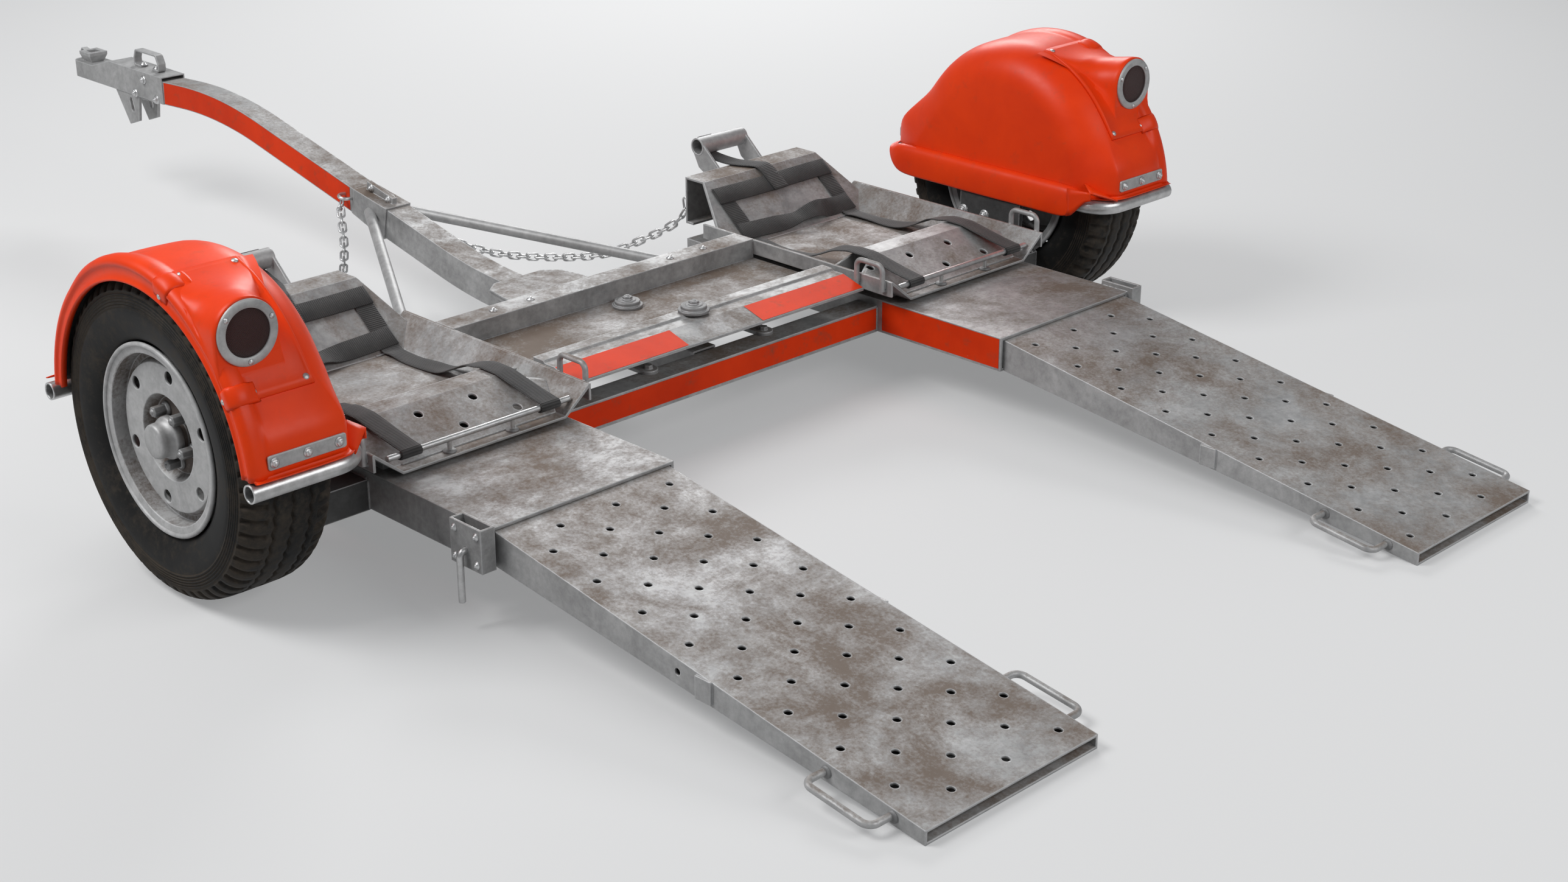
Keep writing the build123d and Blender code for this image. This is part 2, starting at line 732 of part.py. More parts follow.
foot_y = axle_y + stop_foot_y
ridge_y = axle_y + stop_ridge_y
front_y = axle_y + stop_front_y
slant_half = pan_top_half - stop_side_inset
knee_z = pan_floor_z + (slant_half - pan_floor_half) * pan_wall_rise
with BuildPart() as front_stop:
    with BuildSketch(lengthwise(pan_x - slant_half)):
        with BuildLine():
            Polyline((foot_y, pan_floor_z), (ridge_y, stop_ridge_z), (front_y, stop_ridge_z),
                     (front_y, stop_wall_foot_z), (front_y - stop_lip, stop_wall_foot_z),
                     (front_y - stop_lip, stop_wall_foot_z + pan_sheet),
                     (front_y - pan_sheet, stop_wall_foot_z + pan_sheet),
                     (front_y - pan_sheet, stop_ridge_z - pan_sheet),
                     (ridge_y + 0.4 * pan_sheet, stop_ridge_z - pan_sheet),
                     (foot_y + 1.6 * pan_sheet, pan_floor_z), close=True)
        make_face()
    extrude(amount=2 * slant_half)
    with BuildSketch(crosswise(front_y + 1)):
        with BuildLine():
            Polyline((pan_x - pan_floor_half, pan_floor_z), (pan_x - slant_half, knee_z),
                     (pan_x - stop_ridge_half, stop_ridge_z),
                     (pan_x + stop_ridge_half, stop_ridge_z), (pan_x + slant_half, knee_z),
                     (pan_x + pan_floor_half, pan_floor_z), close=True)
        make_face()
    extrude(amount=stop_front_y - stop_foot_y + 2, mode=Mode.INTERSECT)
    for trim_side in (-1, 1):
        with BuildSketch(level(pan_floor_z)):
            with Locations((pan_x + trim_side * (stop_ridge_half + stop_trim_width / 2),
                            ridge_y + stop_trim_length / 2 + 2)):
                Rectangle(stop_trim_width, stop_trim_length)
        extrude(amount=stop_ridge_z - pan_floor_z, mode=Mode.SUBTRACT)
save_pair("front_stop", front_stop.part)

with BuildPart() as wedge:
    with BuildSketch(lengthwise(pan_x - slant_half)):
        with BuildLine():
            Polyline((axle_y + wedge_foot_y, pan_floor_z), (axle_y + wedge_ridge_y, wedge_ridge_z),
                     (axle_y + wedge_front_y, wedge_ridge_z),
                     (axle_y + wedge_front_y, pan_floor_z),
                     (axle_y + wedge_front_y - pan_sheet, pan_floor_z),
                     (axle_y + wedge_front_y - pan_sheet, wedge_ridge_z - pan_sheet),
                     (axle_y + wedge_ridge_y - 1, wedge_ridge_z - pan_sheet),
                     (axle_y + wedge_foot_y + 2.4 * pan_sheet, pan_floor_z), close=True)
        make_face()
    extrude(amount=2 * slant_half)
    with BuildSketch(crosswise(axle_y + wedge_front_y + 1)):
        with BuildLine():
            Polyline((pan_x - pan_floor_half, pan_floor_z),
                     (pan_x - wedge_knee_half, wedge_knee_z),
                     (pan_x - wedge_ridge_half, wedge_ridge_z),
                     (pan_x + wedge_ridge_half, wedge_ridge_z),
                     (pan_x + wedge_knee_half, wedge_knee_z),
                     (pan_x + pan_floor_half, pan_floor_z), close=True)
        make_face()
    extrude(amount=wedge_front_y - wedge_foot_y + 2, mode=Mode.INTERSECT)
    for row_y, row_count in ((wedge_upper_row_y, 4), (wedge_lower_row_y, 3)):
        with BuildSketch(level(wedge_ridge_z)):
            with Locations((pan_x, axle_y + row_y)):
                with GridLocations(wedge_hole_pitch, 1, row_count, 1):
                    Circle(wedge_hole_radius)
        extrude(amount=pan_floor_z - wedge_ridge_z, mode=Mode.SUBTRACT)
save_pair("pan_wedge", wedge.part)

rod_line_y = axle_y + rod_y
with BuildPart() as strap_rod:
    with BuildSketch(lengthwise(pan_x - rod_half)):
        with Locations((rod_line_y, rod_z)):
            Circle(rod_radius)
    extrude(amount=2 * rod_half)
    for rod_side in (-1, 1):
        with BuildSketch(level(pan_floor_z)):
            with Locations((pan_x + rod_side * rod_foot_x, rod_line_y)):
                Circle(rod_boss_radius)
        extrude(amount=rod_boss_height)
        with BuildSketch(level(pan_floor_z)):
            with Locations((pan_x + rod_side * rod_foot_x, rod_line_y)):
                Circle(rod_leg_radius)
        extrude(amount=rod_z - pan_floor_z)
save_pair("strap_rod", strap_rod.part)

pipe_y = axle_y + roller_y
with BuildPart() as roller:
    with BuildSketch(lengthwise(pan_x - roller_length / 2)):
        with Locations((pipe_y, roller_z)):
            Circle(roller_radius)
    extrude(amount=roller_length)
    for arm_side in (-1, 1):
        with BuildSketch(lengthwise(pan_x + arm_side * (roller_length / 2 - 4) - arm_thickness / 2)):
            with BuildLine():
                Polyline((front_y, arm_foot_z), (front_y, arm_foot_z + arm_width),
                         (pipe_y - roller_radius + 2, roller_z + 8),
                         (pipe_y + roller_radius - 4, roller_z - 10),
                         (pipe_y - 4, arm_foot_z + 44), close=True)
            make_face()
        extrude(amount=arm_thickness)
    with BuildSketch(lengthwise(pan_x - roller_length / 2)):
        with Locations((pipe_y, roller_z)):
            Circle(roller_radius - roller_wall)
    extrude(amount=roller_length, mode=Mode.SUBTRACT)
save_pair("strap_roller", roller.part)


# Webbing net over the tyre's place, one closed sheet of straps

slant_length = math.hypot(ridge_y - foot_y, stop_ridge_z - pan_floor_z)
slant_y = (ridge_y - foot_y) / slant_length
slant_z = (stop_ridge_z - pan_floor_z) / slant_length
strap_top = strap_gap + strap_thickness
web_end_y = rod_line_y + rod_radius + strap_gap


def on_slant(distance, height):
    """A point on the front stop's face: distance down from the ridge, height off the face."""
    return (ridge_y - distance * slant_y - height * slant_z,
            stop_ridge_z - distance * slant_z + height * slant_y)


with BuildPart() as net:
    for strap_x in (pan_x - net_half, pan_x + net_half):
        with BuildSketch(lengthwise(strap_x - strap_width / 2)):
            with BuildLine():
                Polyline(on_slant(net_top, strap_top), on_slant(net_foot, strap_top),
                         (axle_y + net_dip_y, pan_floor_z + 8 + strap_thickness),
                         (axle_y + wedge_front_y + strap_thickness, wedge_ridge_z + strap_top),
                         (axle_y + wedge_ridge_y, wedge_ridge_z + strap_top),
                         (web_end_y, rod_z + rod_radius + strap_thickness),
                         (web_end_y, rod_z + rod_radius),
                         (axle_y + wedge_ridge_y, wedge_ridge_z + strap_gap),
                         (axle_y + wedge_front_y + strap_thickness, wedge_ridge_z + strap_gap),
                         (axle_y + net_dip_y, pan_floor_z + 8),
                         on_slant(net_foot, strap_gap), on_slant(net_top, strap_gap), close=True)
            make_face()
        extrude(amount=strap_width)
    for near in (net_top, net_foot - strap_width):
        with BuildSketch(lengthwise(pan_x - net_half)):
            with BuildLine():
                Polyline(on_slant(near, strap_top), on_slant(near + strap_width, strap_top),
                         on_slant(near + strap_width, strap_gap), on_slant(near, strap_gap),
                         close=True)
            make_face()
        extrude(amount=2 * net_half)
    with BuildSketch(lengthwise(pan_x - strap_width / 2)):
        with BuildLine():
            Polyline(on_slant(net_top, strap_top), (ridge_y - 1, stop_ridge_z + strap_top),
                     (front_y, stop_ridge_z + strap_top), (front_y, stop_ridge_z + strap_gap),
                     (ridge_y + 1, stop_ridge_z + strap_gap), on_slant(net_top, strap_gap),
                     close=True)
        make_face()
    extrude(amount=strap_width)
save_pair("webbing_net", net.part)


# Tongue: a rear tube under the deck, a collar and a bent front tube

rise_y = axle_y + tongue_rise_y
slope_angle = math.atan(tongue_slope)
along_y = math.cos(slope_angle)
along_z = math.sin(slope_angle)


def slope_z(y):
    return tongue_low_z + (y - rise_y) * tongue_slope


def box_tube(points, width, height):
    """Square-cornered tube along a bent line in the plane of symmetry."""
    with BuildPart() as tube:
        with BuildLine(Plane.YZ) as path:
            FilletPolyline(*points, radius=tongue_bend)
        with BuildSketch(Plane(origin=path.line @ 0, x_dir=(1, 0, 0), z_dir=path.line % 0)):
            Rectangle(width, height)
            Rectangle(width - 2 * tongue_wall, height - 2 * tongue_wall, mode=Mode.SUBTRACT)
        sweep(path=path.line)
    return tube.part


joint_y = axle_y + collar_y - collar_length / 2 + 24
joint = (joint_y, slope_z(joint_y))
crest = (axle_y + tongue_crest_y, tongue_crest_z)
front_end = (axle_y + tongue_front_y,
             tongue_crest_z - (tongue_front_y - tongue_crest_y) * tongue_fall)
with BuildPart() as rear_tube:
    add(box_tube([(tongue_end_y, tongue_low_z), (rise_y, tongue_low_z), joint],
                 rear_tube_width, rear_tube_height))
    with BuildSketch(level(rear_tube_top_z - gusset_sink)):
        with BuildLine():
            Polyline((-gusset_half_front, axle_y + gusset_front_y),
                     (gusset_half_front, axle_y + gusset_front_y),
                     (gusset_shoulder_half, axle_y + gusset_shoulder_y),
                     (gusset_half_rear, axle_y + gusset_rear_y),
                     (gusset_half_rear, front_beam_rear_y),
                     (-gusset_half_rear, front_beam_rear_y),
                     (-gusset_half_rear, axle_y + gusset_rear_y),
                     (-gusset_shoulder_half, axle_y + gusset_shoulder_y), close=True)
        make_face()
    extrude(amount=gusset_top_z - rear_tube_top_z + gusset_sink)
save("tongue_rear_tube", rear_tube.part)
save("tongue_front_tube", box_tube([joint, crest, front_end], tongue_width, tongue_height))

collar_mid_y = axle_y + collar_y
collar_mid_z = slope_z(collar_mid_y)
collar_plane = Plane(origin=(0, collar_mid_y, collar_mid_z), x_dir=(1, 0, 0),
                     z_dir=(0, along_y, along_z))
collar_rear_x = rear_tube_width + 2 * collar_wall
collar_rear_z = rear_tube_height + 2 * collar_wall
collar_front_x = tongue_width + 3
collar_front_z = tongue_height + 3
with BuildPart() as collar_block:
    with BuildSketch(collar_plane.offset(-collar_length / 2)):
        Rectangle(collar_rear_x, collar_rear_z)
    with BuildSketch(collar_plane.offset(collar_length / 2)):
        Rectangle(collar_front_x, collar_front_z)
    loft()
with BuildPart() as collar:
    add(collar_block.part)
    clamp_plane = Plane(origin=(-clamp_thickness, collar_mid_y, collar_mid_z),
                        x_dir=(0, along_y, along_z), z_dir=(1, 0, 0))
    with BuildSketch(clamp_plane):
        with Locations((0, collar_front_z / 2 + clamp_height / 2)):
            Rectangle(clamp_length, clamp_height)
    extrude(amount=2 * clamp_thickness)
    with BuildSketch(collar_plane.offset(-collar_length)):
        Rectangle(rear_tube_width, rear_tube_height)
    extrude(amount=(joint_y - collar_mid_y) / along_y + collar_length, mode=Mode.SUBTRACT)
    with BuildSketch(collar_plane.offset(-collar_length / 2)):
        Rectangle(tongue_width, tongue_height)
    extrude(amount=collar_length, mode=Mode.SUBTRACT)
save("tongue_collar", collar.part)

brace_top = Vector(rear_tube_width / 2, collar_mid_y, collar_mid_z)
brace_foot = Vector(sleeve_inner_x, axle_y + brace_foot_y, brace_foot_z)
brace_line = brace_foot - brace_top
with BuildPart() as brace:
    with BuildSketch(Plane(origin=brace_top, z_dir=brace_line)):
        Circle(brace_radius)
    extrude(amount=brace_line.length + 40)
    with BuildSketch(lengthwise(sleeve_inner_x)):
        with Locations((axle_y + brace_foot_y, brace_foot_z)):
            Rectangle(sleeve_width, sleeve_height * 3)
    extrude(amount=sleeve_width, mode=Mode.SUBTRACT)
    add(collar_block.part, mode=Mode.SUBTRACT)
save_pair("tongue_brace", brace.part)


# Coupler

coupler_rear = nose_y - coupler_length
step_end_y = nose_y - coupler_step_setback
bend_y = nose_y - coupler_bend_setback
half_width = coupler_width / 2
with BuildPart() as coupler:
    with BuildSketch(lengthwise(-half_width)):
        with BuildLine():
            Polyline((coupler_rear, coupler_bottom_z), (coupler_rear, coupler_top_z),
                     (step_end_y, coupler_top_z), (bend_y, nose_top_z), (nose_y, nose_top_z),
                     (nose_y, coupler_bottom_z), close=True)
        make_face()
    extrude(amount=coupler_width)
    fillet(coupler.edges().filter_by(Axis.Z).group_by(Axis.Y)[-1], radius=nose_round)
    with BuildSketch(lengthwise(coupler_wall - half_width)):
        with BuildLine():
            Polyline((coupler_rear - 1, coupler_bottom_z - 1),
                     (coupler_rear - 1, coupler_top_z - coupler_wall),
                     (step_end_y - 1, coupler_top_z - coupler_wall),
                     (bend_y - 1, nose_top_z - coupler_wall),
                     (ball_y - ball_radius - 6, nose_top_z - coupler_wall),
                     (ball_y - ball_radius - 6, coupler_bottom_z - 1), close=True)
        make_face()
    extrude(amount=coupler_width - 2 * coupler_wall, mode=Mode.SUBTRACT)
    with BuildSketch(level(coupler_bottom_z)):
        with Locations((0, ball_y)):
            Circle(ball_radius)
    extrude(amount=ball_depth, mode=Mode.SUBTRACT)
save("coupler", coupler.part)

cup_y = ball_y - cup_setback
with BuildPart() as cup:
    with BuildSketch(level(nose_top_z)):
        with Locations((0, cup_y)):
            Rectangle(2 * cup_foot_half, 2 * cup_foot_half)
    with BuildSketch(level(nose_top_z + cup_rise - cup_rim)):
        with Locations((0, cup_y)):
            Rectangle(2 * cup_half, 2 * cup_half)
    loft()
    with BuildSketch(level(nose_top_z + cup_rise - cup_rim)):
        with Locations((0, cup_y)):
            Rectangle(2 * cup_half, 2 * cup_half)
    extrude(amount=cup_rim)
    with BuildSketch(level(nose_top_z + cup_rise)):
        with Locations((0, cup_y)):
            Rectangle(2 * (cup_foot_half - cup_wall), 2 * (cup_foot_half - cup_wall))
    extrude(amount=cup_wall - cup_rise, mode=Mode.SUBTRACT)
save("coupler_cup", cup.part)

with BuildPart() as latch:
    with BuildSketch(lengthwise(-latch_width / 2)):
        with BuildLine():
            Polyline((nose_y - 16, nose_top_z), (nose_y - 6, nose_top_z),
                     (nose_y - 5, nose_top_z + latch_rise - 8),
                     (nose_y - 12, nose_top_z + latch_rise),
                     (cup_y + cup_half, nose_top_z + cup_rise - 2),
                     (cup_y + cup_half, nose_top_z + cup_rise - 6),
                     (nose_y - 14, nose_top_z + latch_rise - 4),
                     (nose_y - 9, nose_top_z + latch_rise - 9),
                     (nose_y - 10, nose_top_z + 3), (nose_y - 16, nose_top_z + 3), close=True)
        make_face()
    extrude(amount=latch_width)
save("coupler_latch", latch.part)

grip_mid_y = nose_y - grip_setback
with BuildPart() as grip:
    with BuildLine(Plane.YZ) as grip_path:
        FilletPolyline((grip_mid_y - grip_half + 24, coupler_top_z + grip_thickness / 2),
                       (grip_mid_y - grip_half - 8, coupler_top_z + grip_thickness / 2),
                       (grip_mid_y - grip_half - 8, coupler_top_z + grip_height * 0.5),
                       (grip_mid_y - grip_half + 2, coupler_top_z + grip_height),
                       (grip_mid_y + grip_half - 2, coupler_top_z + grip_height),
                       (grip_mid_y + grip_half + 8, coupler_top_z + grip_height * 0.5),
                       (grip_mid_y + grip_half + 8, coupler_top_z + grip_thickness / 2),
                       (grip_mid_y + grip_half - 24, coupler_top_z + grip_thickness / 2),
                       radius=7)
    with BuildSketch(Plane(origin=grip_path.line @ 0, x_dir=(1, 0, 0), z_dir=grip_path.line % 0)):
        Rectangle(grip_width, grip_thickness)
    sweep(path=grip_path.line)
save("coupler_grip", grip.part)

tab_mid_y = nose_y - tab_plate_setback
tab_plate_x = half_width - coupler_wall - tab_plate_thickness
with BuildPart() as tab_plate:
    with BuildSketch(lengthwise(tab_plate_x)):
        with BuildLine():
            Polyline((tab_mid_y - tab_plate_top_half, coupler_bottom_z + tab_plate_overlap),
                     (tab_mid_y + tab_plate_top_half, coupler_bottom_z + tab_plate_overlap),
                     (tab_mid_y - tab_plate_foot_front, coupler_bottom_z - tab_plate_drop),
                     (tab_mid_y - tab_plate_foot_rear, coupler_bottom_z - tab_plate_drop + 16),
                     close=True)
        make_face()
    extrude(amount=tab_plate_thickness)
    with BuildSketch(lengthwise(tab_plate_x)):
        with Locations((tab_mid_y - tab_slot_setback, coupler_bottom_z - tab_slot_length / 2 - 10)):
            SlotOverall(tab_slot_length, 2 * tab_slot_radius, rotation=75)
    extrude(amount=tab_plate_thickness, mode=Mode.SUBTRACT)
save_pair("coupler_tab", tab_plate.part)


# Fenders with their aprons and bumper bars

fender_rear = axle_y + fender_rear_y
fender_front = axle_y + fender_front_y
shoulder_rear_y = axle_y - fender_shoulder_y
shoulder_front_y = axle_y + fender_shoulder_y - 10


def fender_block(inset, foot_z):
    """Solid fender shape, moved in by inset on every side and cut off at foot_z."""
    with BuildPart() as block:
        with BuildSketch(lengthwise(fender_inner_x)):
            with BuildLine():
                Polyline((shoulder_front_y - inset, fender_shoulder_z - inset),
                         (fender_front - inset, fender_knee_z - inset / 2),
                         (fender_front - inset, foot_z), (fender_rear + inset, foot_z),
                         (fender_rear + inset, fender_knee_z - inset / 2),
                         (shoulder_rear_y + inset, fender_shoulder_z - inset))
                ThreePointArc((shoulder_rear_y + inset, fender_shoulder_z - inset),
                              (axle_y + fender_centre_y, fender_crown_z - inset),
                              (shoulder_front_y - inset, fender_shoulder_z - inset))
            make_face()
        extrude(amount=fender_outer_x - fender_inner_x)
        with BuildSketch(level(foot_z)):
            with BuildLine():
                Polyline((fender_outer_x - inset, fender_rear + inset),
                         (fender_outer_x - inset, fender_front - inset),
                         (fender_inner_x + fender_corner_x + inset / 2, fender_front - inset),
                         (fender_inner_x + inset, fender_front - fender_corner_y),
                         (fender_inner_x + inset, fender_rear + fender_corner_y),
                         (fender_inner_x + fender_corner_x + inset / 2, fender_rear + inset),
                         close=True)
            make_face()
        extrude(amount=fender_crown_z, mode=Mode.INTERSECT)
    return block.part


lip_rear_y = fender_rear - fender_lip
lip_front_y = fender_front + fender_lip
apron_rear = axle_y + apron_rear_y
apron_front = axle_y + apron_front_y
lip_x = fender_inner_x + fender_corner_x
with BuildPart() as fender:
    add(fender_block(0, fender_foot_z))
    add(fender_block(fender_sheet, fender_foot_z - 1), mode=Mode.SUBTRACT)
    with BuildSketch(lengthwise(fender_outer_x - fender_sheet - 1)):
        with Locations((axle_y + fender_arch_y, fender_arch_z)):
            Circle(fender_arch_radius)
    extrude(amount=fender_sheet + 2, mode=Mode.SUBTRACT)
    with BuildSketch(level(fender_foot_z - fender_sheet)):
        with BuildLine():
            Polyline((fender_outer_x, lip_rear_y), (lip_x, lip_rear_y), (apron_x, apron_rear),
                     (apron_x, apron_front), (lip_x, lip_front_y), (fender_outer_x, lip_front_y),
                     close=True)
        make_face()
        with BuildLine():
            Polyline((fender_outer_x + 1, fender_rear + lip_inside),
                     (lip_x - lip_inside, fender_rear + lip_inside),
                     (apron_x + fender_sheet, apron_rear + 6),
                     (apron_x + fender_sheet, apron_front - 6),
                     (lip_x - lip_inside, fender_front - lip_inside),
                     (fender_outer_x + 1, fender_front - lip_inside), close=True)
        make_face(mode=Mode.SUBTRACT)
    extrude(amount=fender_sheet)
    with BuildSketch(lengthwise(apron_x)):
        with Locations(((apron_rear + apron_front) / 2, (apron_foot_z + ledge_z) / 2)):
            Rectangle(apron_front - apron_rear, ledge_z - apron_foot_z)
    extrude(amount=fender_sheet)
    with BuildSketch(level(ledge_z - fender_sheet)):
        with Locations(((apron_x + fender_inner_x + fender_sheet) / 2,
                        (apron_rear + apron_front) / 2)):
            Rectangle(fender_inner_x + fender_sheet - apron_x, apron_front - apron_rear)
    extrude(amount=fender_sheet)
    with BuildSketch(crosswise(fender_rear)):
        with Locations((plate_x, plate_z)):
            Rectangle(plate_length, plate_height)
    extrude(amount=plate_thickness)
save_pair("fender", fender.part)

for bar_name, bar_y, bar_stop_y in (("fender_bar_rear", axle_y + bar_rear_y,
                                     axle_y - spindle_plate_rear),
                                    ("fender_bar_front", axle_y + bar_front_y,
                                     axle_y + spindle_plate_front)):
    with BuildPart() as bar:
        with BuildLine(level(bar_z)) as bar_path:
            FilletPolyline((fender_outer_x - 2, bar_y), (bar_x, bar_y), (bar_x, bar_stop_y),
                           radius=bar_bend)
        with BuildSketch(Plane(origin=bar_path.line @ 0, z_dir=bar_path.line % 0)):
            Circle(bar_radius)
            Circle(bar_radius - bar_wall, mode=Mode.SUBTRACT)
        sweep(path=bar_path.line)
    save_pair(bar_name, bar.part)


# Lamps on the fenders' backs

lamp_back_y = axle_y + lamp_y
with BuildPart() as hood:
    with BuildSketch(crosswise(lamp_back_y + lamp_thickness + hood_length)):
        with Locations((lamp_x, lamp_z)):
            Circle(hood_radius)
    extrude(amount=hood_length)
    with BuildPart(mode=Mode.PRIVATE) as saddle:
        add(fender_block(-hood_plate_thickness, fender_foot_z))
        with BuildSketch(level(hood_plate_foot_z)):
            with Locations((hood_plate_x, axle_y + hood_plate_y)):
                Rectangle(hood_plate_width, hood_plate_length)
        extrude(amount=fender_crown_z, mode=Mode.INTERSECT)
    add(saddle.part)
    add(fender_block(0, fender_foot_z), mode=Mode.SUBTRACT)
    with BuildSketch(crosswise(lamp_back_y + lamp_thickness)):
        with Locations((lamp_x, lamp_z)):
            Circle(hood_radius)
    extrude(amount=4 * lamp_thickness, mode=Mode.SUBTRACT)
save_pair("lamp_hood", hood.part)

with BuildPart() as lamp:
    with BuildSketch(crosswise(lamp_back_y + lamp_thickness)):
        with Locations((lamp_x, lamp_z)):
            Circle(lamp_radius)
    extrude(amount=lamp_thickness)
save_pair("lamp", lamp.part)


# Safety chains, from the tongue's sides to the front stops

with BuildPart() as chain:
    with BuildLine() as chain_path:
        Spline(*[Vector(x, axle_y + y, z) for x, y, z in chain_points],
               tangents=[(1, 0, 0), (0, 0, 1)])
    with BuildSketch(Plane(origin=chain_path.line @ 0, z_dir=chain_path.line % 0)):
        Circle(chain_radius)
    sweep(path=chain_path.line)
save_pair("safety_chain", chain.part)
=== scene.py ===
from functools import cached_property
from math import atan, copysign, cos, exp, floor, hypot, pi, radians, sin, sqrt

import bpy
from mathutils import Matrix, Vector


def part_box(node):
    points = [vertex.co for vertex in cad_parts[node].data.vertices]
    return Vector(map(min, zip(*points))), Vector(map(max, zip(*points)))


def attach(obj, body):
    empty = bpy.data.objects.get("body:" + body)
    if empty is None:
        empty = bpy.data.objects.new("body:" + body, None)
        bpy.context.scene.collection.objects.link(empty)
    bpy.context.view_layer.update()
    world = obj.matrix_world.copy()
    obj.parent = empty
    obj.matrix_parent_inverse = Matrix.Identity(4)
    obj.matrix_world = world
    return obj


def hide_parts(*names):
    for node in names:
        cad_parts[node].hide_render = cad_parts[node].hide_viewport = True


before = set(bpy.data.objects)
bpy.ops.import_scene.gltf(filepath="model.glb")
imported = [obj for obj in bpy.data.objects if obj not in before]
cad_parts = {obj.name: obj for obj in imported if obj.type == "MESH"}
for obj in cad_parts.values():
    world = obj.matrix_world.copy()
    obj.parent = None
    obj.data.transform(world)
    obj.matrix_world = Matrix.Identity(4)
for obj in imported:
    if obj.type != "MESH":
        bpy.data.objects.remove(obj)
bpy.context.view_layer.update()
scene = bpy.context.scene

# A car tow dolly. Lengths are in mm with y counted from the axle, until at() makes them places in
# the frame, in metres. Pieces are modelled on the right and mirrored to the left.

MM = 0.001
SIDES = ("right", "left")
TURN = 2 * pi
tyre_low, tyre_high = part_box("tyre_right")
AXLE_Y = (tyre_low.y + tyre_high.y) / 2  # metres
WHEEL_X, WHEEL_Z = 1150, 302.5
OUTWARD, INWARD, FORWARD, REARWARD, UP = (1, 0, 0), (-1, 0, 0), (0, 1, 0), (0, -1, 0), (0, 0, 1)


def at(x, y, z):
    """A point in mm, with y counted from the axle, as a place in the frame."""
    return Vector((x * MM, y * MM + AXLE_Y, z * MM))


def lerp(a, b, t):
    return a + (b - a) * t


def lerp_point(a, b, t):
    return tuple(lerp(p, q, t) for p, q in zip(a, b))


def smooth_step(t):
    t = min(1, max(0, t))
    return t * t * (3 - 2 * t)


def polar(y, z, radius, degrees):
    """Point of a circle round (y, z)."""
    angle = radians(degrees)
    return y + radius * cos(angle), z + radius * sin(angle)


def link(name, data):
    obj = bpy.data.objects.new(name, data)
    scene.collection.objects.link(obj)
    return obj


# Camera, solved from the photograph

camera_data = bpy.data.cameras.new("camera")
camera_data.sensor_width = 36
camera_data.lens = 54.10
camera_data.clip_end = 100
azimuth, elevation = radians(-44.760), radians(22.613)
back = Vector((sin(azimuth) * cos(elevation),
               -cos(azimuth) * cos(elevation), sin(elevation)))
camera = link("camera", camera_data)
camera.location = Vector((-3.1509, -3.5079 + AXLE_Y, 1.9033))
camera.rotation_euler = back.to_track_quat("Z", "Y").to_euler()
scene.camera = camera


# Materials. Their lengths are in metres.

class Value:
    """A node's output, which adds, subtracts and multiplies by means of Math nodes."""

    def __init__(self, mat, socket):
        self.mat, self.socket = mat, socket

    def math(self, kind, other=None, clamp=False):
        return self.mat.math(kind, self, other, clamp)

    def __add__(self, other):
        return self.math("ADD", other)

    def __sub__(self, other):
        return self.math("SUBTRACT", other)

    def __mul__(self, other):
        return self.math("MULTIPLY", other)


class Shader:
    """A material's node tree, with one short call for each kind of node."""

    def __init__(self, name):
        self.material = bpy.data.materials.new(name)
        self.material.use_nodes = True
        self.tree = self.material.node_tree

    @cached_property
    def place(self):
        return self.node("TexCoord", {}, "Object")

    def put(self, socket, value):
        """Set a socket to a number or colour, or link it to another node's output."""
        if isinstance(value, Value):
            self.tree.links.new(value.socket, socket)
        else:
            socket.default_value = (*value, 1) if isinstance(value, tuple) else value

    def node(self, kind, inputs, output, **settings):
        node = self.tree.nodes.new("ShaderNode" + kind)
        for key, setting in settings.items():
            setattr(node, key, setting)
        for key, value in inputs.items():
            if value is not None:
                self.put(node.inputs[key], value)
        return Value(self, node.outputs[output])

    def math(self, kind, a, b=None, clamp=False):
        return self.node("Math", {0: a, 1: b}, "Value", operation=kind, use_clamp=clamp)

    def noise(self, scale, detail, rough, distortion=0):
        return self.node("TexNoise", {"Vector": self.place, "Scale": scale, "Detail": detail,
                                      "Roughness": rough, "Distortion": distortion}, "Fac")

    def ramp(self, value, *stops):
        """Colour ramp through stops of (place, colour), where a single number is a grey."""
        result = self.node("ValToRGB", {"Fac": value}, "Color")
        elements = result.socket.node.color_ramp.elements
        while len(elements) < len(stops):
            elements.new(0.5)
        for element, (place, colour) in zip(elements, stops):
            element.position = place
            element.color = (*(colour if isinstance(colour, tuple) else (colour,) * 3), 1)
        return result

    def mix(self, factor, a, b, kind="MIX"):
        return self.node("Mix", {0: factor, 6: a, 7: b}, 2, data_type="RGBA", blend_type=kind)

    def bump(self, height, strength, distance, normal=None):
        return self.node("Bump", {"Height": height, "Strength": strength, "Distance": distance,
                                  "Normal": normal}, "Normal")

    def split(self, vector):
        """A vector's X, Y and Z."""
        outputs = self.node("SeparateXYZ", {0: vector}, 0).socket.node.outputs
        return [Value(self, output) for output in outputs]

    def normal(self):
        return self.node("NewGeometry", {}, "Normal")

    def edges(self, radius):
        """How far the rounded normal leaves the true one, high on sharp edges, and that normal."""
        rounded = self.node("Bevel", {"Radius": radius}, "Normal", samples=4)
        dot = self.node("VectorMath", {0: rounded, 1: self.normal()}, "Value",
                        operation="DOT_PRODUCT")
        return self.math("SUBTRACT", 1, dot), rounded

    def wheel_radius(self):
        """Distance from the wheels' axle, as a share of WHEEL_SHARE."""
        _, y, z = self.split(self.place)
        y, z = y - AXLE_Y, z - WHEEL_Z * MM
        return (y * y + z * z).math("SQRT").math("DIVIDE", WHEEL_SHARE * MM)

    def finish(self, sockets):
        bsdf = self.tree.nodes["Principled BSDF"]
        for key, value in sockets.items():
            self.put(bsdf.inputs[key], value)
        return self.material


WHEEL_SHARE = 400
RIB_PITCH = 5.2


